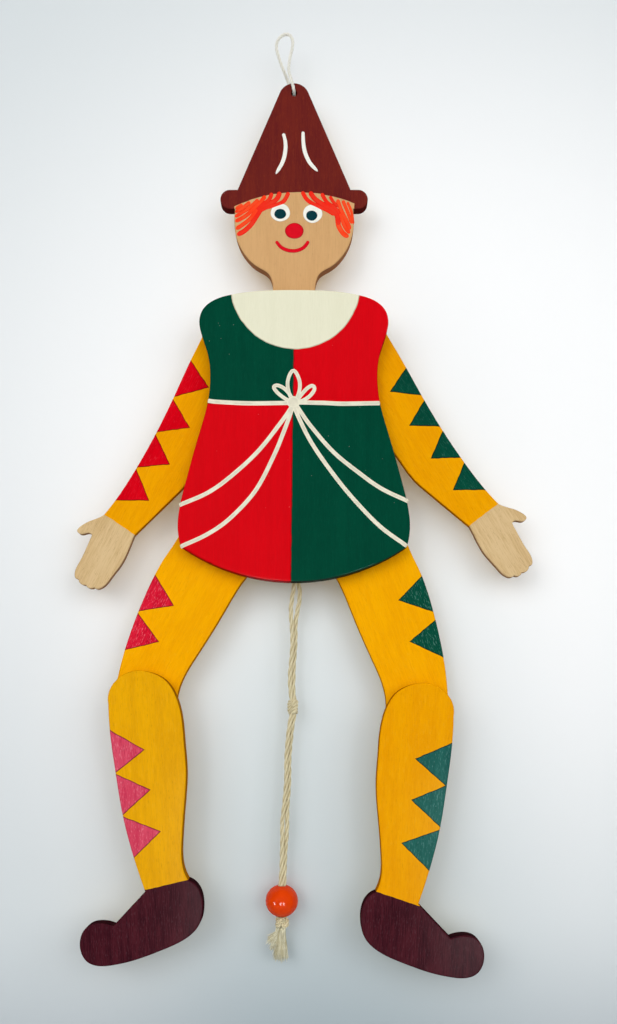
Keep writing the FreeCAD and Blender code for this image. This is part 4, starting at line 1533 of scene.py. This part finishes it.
@dataclass
class LimbStrings:
    """The short strings behind the boards, each with the knot that holds it in its limb."""

    diameter: float = 2.0
    recess_y: float = -0.3
    knot_y: float = -1.25
    holes: dict[tuple[str, Side], Point3] = field(
        default_factory=lambda: {
            ("arm", Side.LEFT): (-17.99, 2.6, -142.87),
            ("arm", Side.RIGHT): (25.69, 2.6, -142.87),
            ("leg", Side.LEFT): (-14.65, 5.3, -242.44),
            ("leg", Side.RIGHT): (22.35, 5.3, -242.44),
        }
    )
    short_of_knot: float = 4.5

    def build(self) -> None:
        """Run each string through its limb and tie its stopper knot."""
        cotton = PliedCotton("natural plied cotton string", "#E4DAB6", "#AE9C6C").material()
        for (limb, side), hole in self.holes.items():
            goal = np.array(MEETING[limb])
            end = goal - unit(goal - hole) * self.short_of_knot
            route = ((hole[0], self.recess_y, hole[2]), hole, tuple(end))
            line = route_points(route, 70)
            body = f"{side.value}_{limb}_string"
            string = plied(line, self.diameter / 2, f"{limb}_string_{side.value}_cord", cotton)
            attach(string, body)
            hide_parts(f"{limb}_string_{side.value}")
            at = (hole[0], self.knot_y, hole[2])
            knot = TiedKnot(
                f"{limb}_stopper_{side.value}", at, (4.4, 4.4, 1.9), 0.6, 15.0, tilt=90.0
            )
            knot.build(cotton, body, "cotton_cord", f"{limb}_stopper_knot_{side.value}")
            log.info("string of %s %s", side.value, limb)


@dataclass
class HangingLoop:
    """The off-white loop through the hat, with its knot behind it.

    The cord is drawn thinner than its nominal diameter, as a pulled cotton cord looks.
    """

    diameter: float = 2.0
    drawn_radius: float = 0.85
    length: float = 75.6
    route: Route = (
        (3.85, 3.3, -30.2), (3.85, -4.2, -30.2), (3.45, -4.3, -27.6), (2.15, -4.3, -23.0),
        (0.95, -2.6, -18.5), (1.65, -0.9, -10.6), (3.65, 0.0, -2.4), (1.85, 0.1, 2.2),
        (-2.55, 0.2, 1.9), (-5.95, 0.4, -3.1), (-3.35, 1.2, -11.4), (-0.55, 2.6, -17.5),
        (1.65, 4.61, -21.6), (3.85, 5.51, -25.2), (3.85, 5.51, -27.9),
    )

    def build(self) -> None:
        """Lay the loop and tie its knot."""
        cotton = PliedCotton("off-white plied cotton", "#F6F4EA", "#D2CDBD").material()
        line = route_points(self.route, 170)
        loop = plied(line, self.drawn_radius, "hanging_loop_cord", cotton, pitch=6.0)
        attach(loop, "trunk")
        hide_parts("hanging_loop")
        knot = TiedKnot("loop_knot", (3.85, 5.6, -30.2), (5.2, 4.2, 4.6), self.drawn_radius, 30.0)
        knot.build(cotton, "trunk", "white_cord", "hanging_loop_knot")
        log.info("hanging loop: %.1f mm", self.length)


# -------------------------------------------------------------------- studio


@dataclass
class Studio:
    """Pale sweep behind and below the puppet, soft lamps and the camera."""

    wall_y: float = 16.0
    floor_z: float = -1400.0
    cove: float = 120.0
    reach: float = 2600.0
    top: float = 1500.0
    camera_at: Point3 = (11.2, -468.0, -339.2)
    lens: float = 32.1
    shift: float = 0.1836
    # Painted light and shade on the backdrop: centre, stretch, near and far distance, share at each
    # and tint. The first paints shade at its rim, the second at its foot, and the third paints a
    # shadow in a column under the puppet.
    painted_shades: tuple[tuple[Point3, Point3, float, float, float, float, str], ...] = (
        ((80.0, 0.0, -205.0), (1.0, 1e6, 0.862), 96.3, 398.5, 0.0, 1.0, "#D6DCDE"),
        ((0.0, 0.0, 1000.0), (1e6, 1e6, 1.0), 1440.1, 1585.0, 0.0, 1.0, "#C9CDD2"),
        ((25.0, 0.0, -420.7), (0.361, 1e6, 1.0), 58.2, 400.0, 1.0, 0.0, "#E1E8EA"),
    )
    # Ways from the bead to the window panes, which stand where its gloss mirrors them.
    pane_ways: Route = (
        (-0.761, -0.616, -0.202), (-0.104, -0.98, -0.169), (0.256, -0.951, -0.171),
    )
    pane_distance: float = 1300.0
    pane_size: Point = (150.0, 380.0)
    pane_watts: float = 9.0
    # Soft lamps: place, width and height, and watts of each.
    soft_lamps: dict[str, tuple[Point3, float, float]] = field(
        default_factory=lambda: {
            "key": ((-1000.0, -1600.0, 200.0), 1100.0, 9.5),
            "right": ((1400.0, -1700.0, 100.0), 1400.0, 10.5),
            "front": ((100.0, -2600.0, 300.0), 3000.0, 41.5),
            "behind": ((-300.0, 1300.0, -200.0), 1200.0, 6.5),
        }
    )
    lit_middle: Point3 = (0.0, 0.0, -260.0)

    def sweep(self) -> None:
        """A wall that bends into the floor: a profile of line, arc and line, drawn sideways.

        It is seen from the front only and lets light through, so that a view from behind shows
        the puppet's back.
        """
        angle = np.linspace(0, np.pi / 2, 25)
        bend_y = self.wall_y - self.cove * (1 - np.cos(angle))
        bend_z = self.floor_z + self.cove * (1 - np.sin(angle))
        y = np.concatenate([[self.wall_y], bend_y, [-self.reach]])
        z = np.concatenate([[self.top], bend_z, [self.floor_z]])
        x = np.linspace(-self.reach, self.reach, 3)[:, None]
        points = np.stack(np.broadcast_arrays(x, y, z), axis=-1) * MM
        index = np.arange(points[..., 0].size).reshape(points.shape[:2])
        quads = np.stack([index[:-1, :-1], index[:-1, 1:], index[1:, 1:], index[1:, :-1]], axis=-1)
        shell("sweep", points, quads.reshape(-1, 4).tolist(), self.paper())

    def paper(self) -> bpy.types.Material:
        """Matt backdrop paper with painted light and shade: whitest at the upper right, with
        painted shade towards its rim and below and a painted shadow under the puppet.

        Returns:
            The material.
        """
        material, tree = blank_material("matt backdrop paper")
        place = add_node(tree, "ShaderNodeTexCoord", out="Object")
        colour: Given = linear("#FFFFFE")
        # Each painted shade multiplies the paper's colour towards its tint.
        for centre, stretch, near, far, low, high, tint in self.painted_shades:
            frame_of_shade = {
                "Vector": place, "Location": tuple(v * MM for v in centre), "Scale": stretch
            }
            away = add_node(tree, "ShaderNodeMapping", frame_of_shade, vector_type="TEXTURE")
            away = add_node(tree, "ShaderNodeVectorMath", (away,), "Value", operation="LENGTH")
            step = {
                "Value": away, "From Min": near * MM, "From Max": far * MM, "To Min": low,
                "To Max": high,
            }
            share = add_node(tree, "ShaderNodeMapRange", step, interpolation_type="SMOOTHSTEP")
            both = {0: share, 6: colour, 7: linear(tint)}
            colour = add_node(
                tree, "ShaderNodeMix", both, 2, data_type="RGBA", blend_type="MULTIPLY"
            )
        paper = add_node(tree, "ShaderNodeBsdfDiffuse", {"Color": colour})
        clear = add_node(tree, "ShaderNodeBsdfTransparent")
        behind = add_node(tree, "ShaderNodeNewGeometry", out="Backfacing")
        passing = add_node(tree, "ShaderNodeLightPath", out="Is Shadow Ray")
        behind = add_node(tree, "ShaderNodeMath", (behind, passing), operation="MAXIMUM")
        mixed = add_node(tree, "ShaderNodeMixShader", (behind, paper, clear))
        add_node(tree, "ShaderNodeOutputMaterial", {"Surface": mixed})
        return material

    def lamp(
        self, name: str, at: Point3, goal: Point3, size: Point, watts: float, mirrored: bool
    ) -> None:
        """A soft white rectangular lamp.

        Args:
            name: Its name.
            at: Its place in millimetres.
            goal: Point that it faces.
            size: Width and height in millimetres.
            watts: Power.
            mirrored: Whether it is only mirrored in gloss, or else only lights surfaces.
        """
        data = bpy.data.lights.new(name, "AREA")
        data.shape = "RECTANGLE"
        data.size, data.size_y = size[0] * MM, size[1] * MM
        data.energy = watts
        made = placed(name, data)
        made.location = tuple(v * MM for v in at)
        way = Vector(goal) - Vector(at)
        made.rotation_euler = way.to_track_quat("-Z", "Y").to_euler()
        made.visible_glossy = mirrored
        made.visible_diffuse = not mirrored

    def lamps(self) -> None:
        """Three window panes, three soft lamps in front and a dim one behind.

        The panes stand low, one at the left and two in front. Only they show in gloss, as three
        small bright bars on the bead.
        """
        bead = PullCord.bead_centre
        for k, way in enumerate(self.pane_ways):
            at = tuple(b + w * self.pane_distance for b, w in zip(bead, way))
            self.lamp(f"window_{k}", at, bead, self.pane_size, self.pane_watts, True)
        for name, (at, size, watts) in self.soft_lamps.items():
            self.lamp(name, at, self.lit_middle, (size, size), watts, False)

    def world(self) -> None:
        """Plain surroundings: pale where they are seen, soft grey light otherwise."""
        made = bpy.data.worlds.new("studio")
        made.use_nodes = True
        tree = made.node_tree
        tree.nodes.clear()
        # Light on the puppet, light that gloss mirrors, and what the camera sees.
        soft, dark, seen = (
            add_node(tree, "ShaderNodeBackground", {"Color": linear(colour), "Strength": strength})
            for colour, strength in (("#F6F9FF", 0.22), ("#FFFFFF", 0.03), ("#EDEFF1", 1.0))
        )
        camera = add_node(tree, "ShaderNodeLightPath", out="Is Camera Ray")
        glossy = add_node(tree, "ShaderNodeLightPath", out="Is Glossy Ray")
        # The room behind the camera is dim, so a flat board mirrors little of it.
        mixed = add_node(tree, "ShaderNodeMixShader", (glossy, soft, dark))
        mixed = add_node(tree, "ShaderNodeMixShader", (camera, mixed, seen))
        add_node(tree, "ShaderNodeOutputWorld", {"Surface": mixed})
        bpy.context.scene.world = made

    def camera(self) -> None:
        """The camera faces the puppet squarely, level with its knees."""
        data = bpy.data.cameras.new("camera")
        data.lens = self.lens
        data.sensor_width = 36.0
        data.shift_y = self.shift
        data.clip_start, data.clip_end = 0.01, 20.0
        made = placed("camera", data)
        made.location = tuple(v * MM for v in self.camera_at)
        made.rotation_euler = (math.pi / 2, 0.0, 0.0)
        bpy.context.scene.camera = made

    def build(self) -> None:
        """Set up the whole studio."""
        self.sweep()
        self.lamps()
        self.world()
        self.camera()
        bpy.context.scene.view_settings.view_transform = "Standard"
        log.info("studio ready")


def main() -> None:
    """Build the studio and every sub-assembly."""
    Studio().build()
    PullCord().build()
    LimbStrings().build()
    HangingLoop().build()
    Boards().dress()
    Pegs().dress()
    TorsoPainting().build()
    FacePainting().build()


if __name__ == "__main__":
    main()
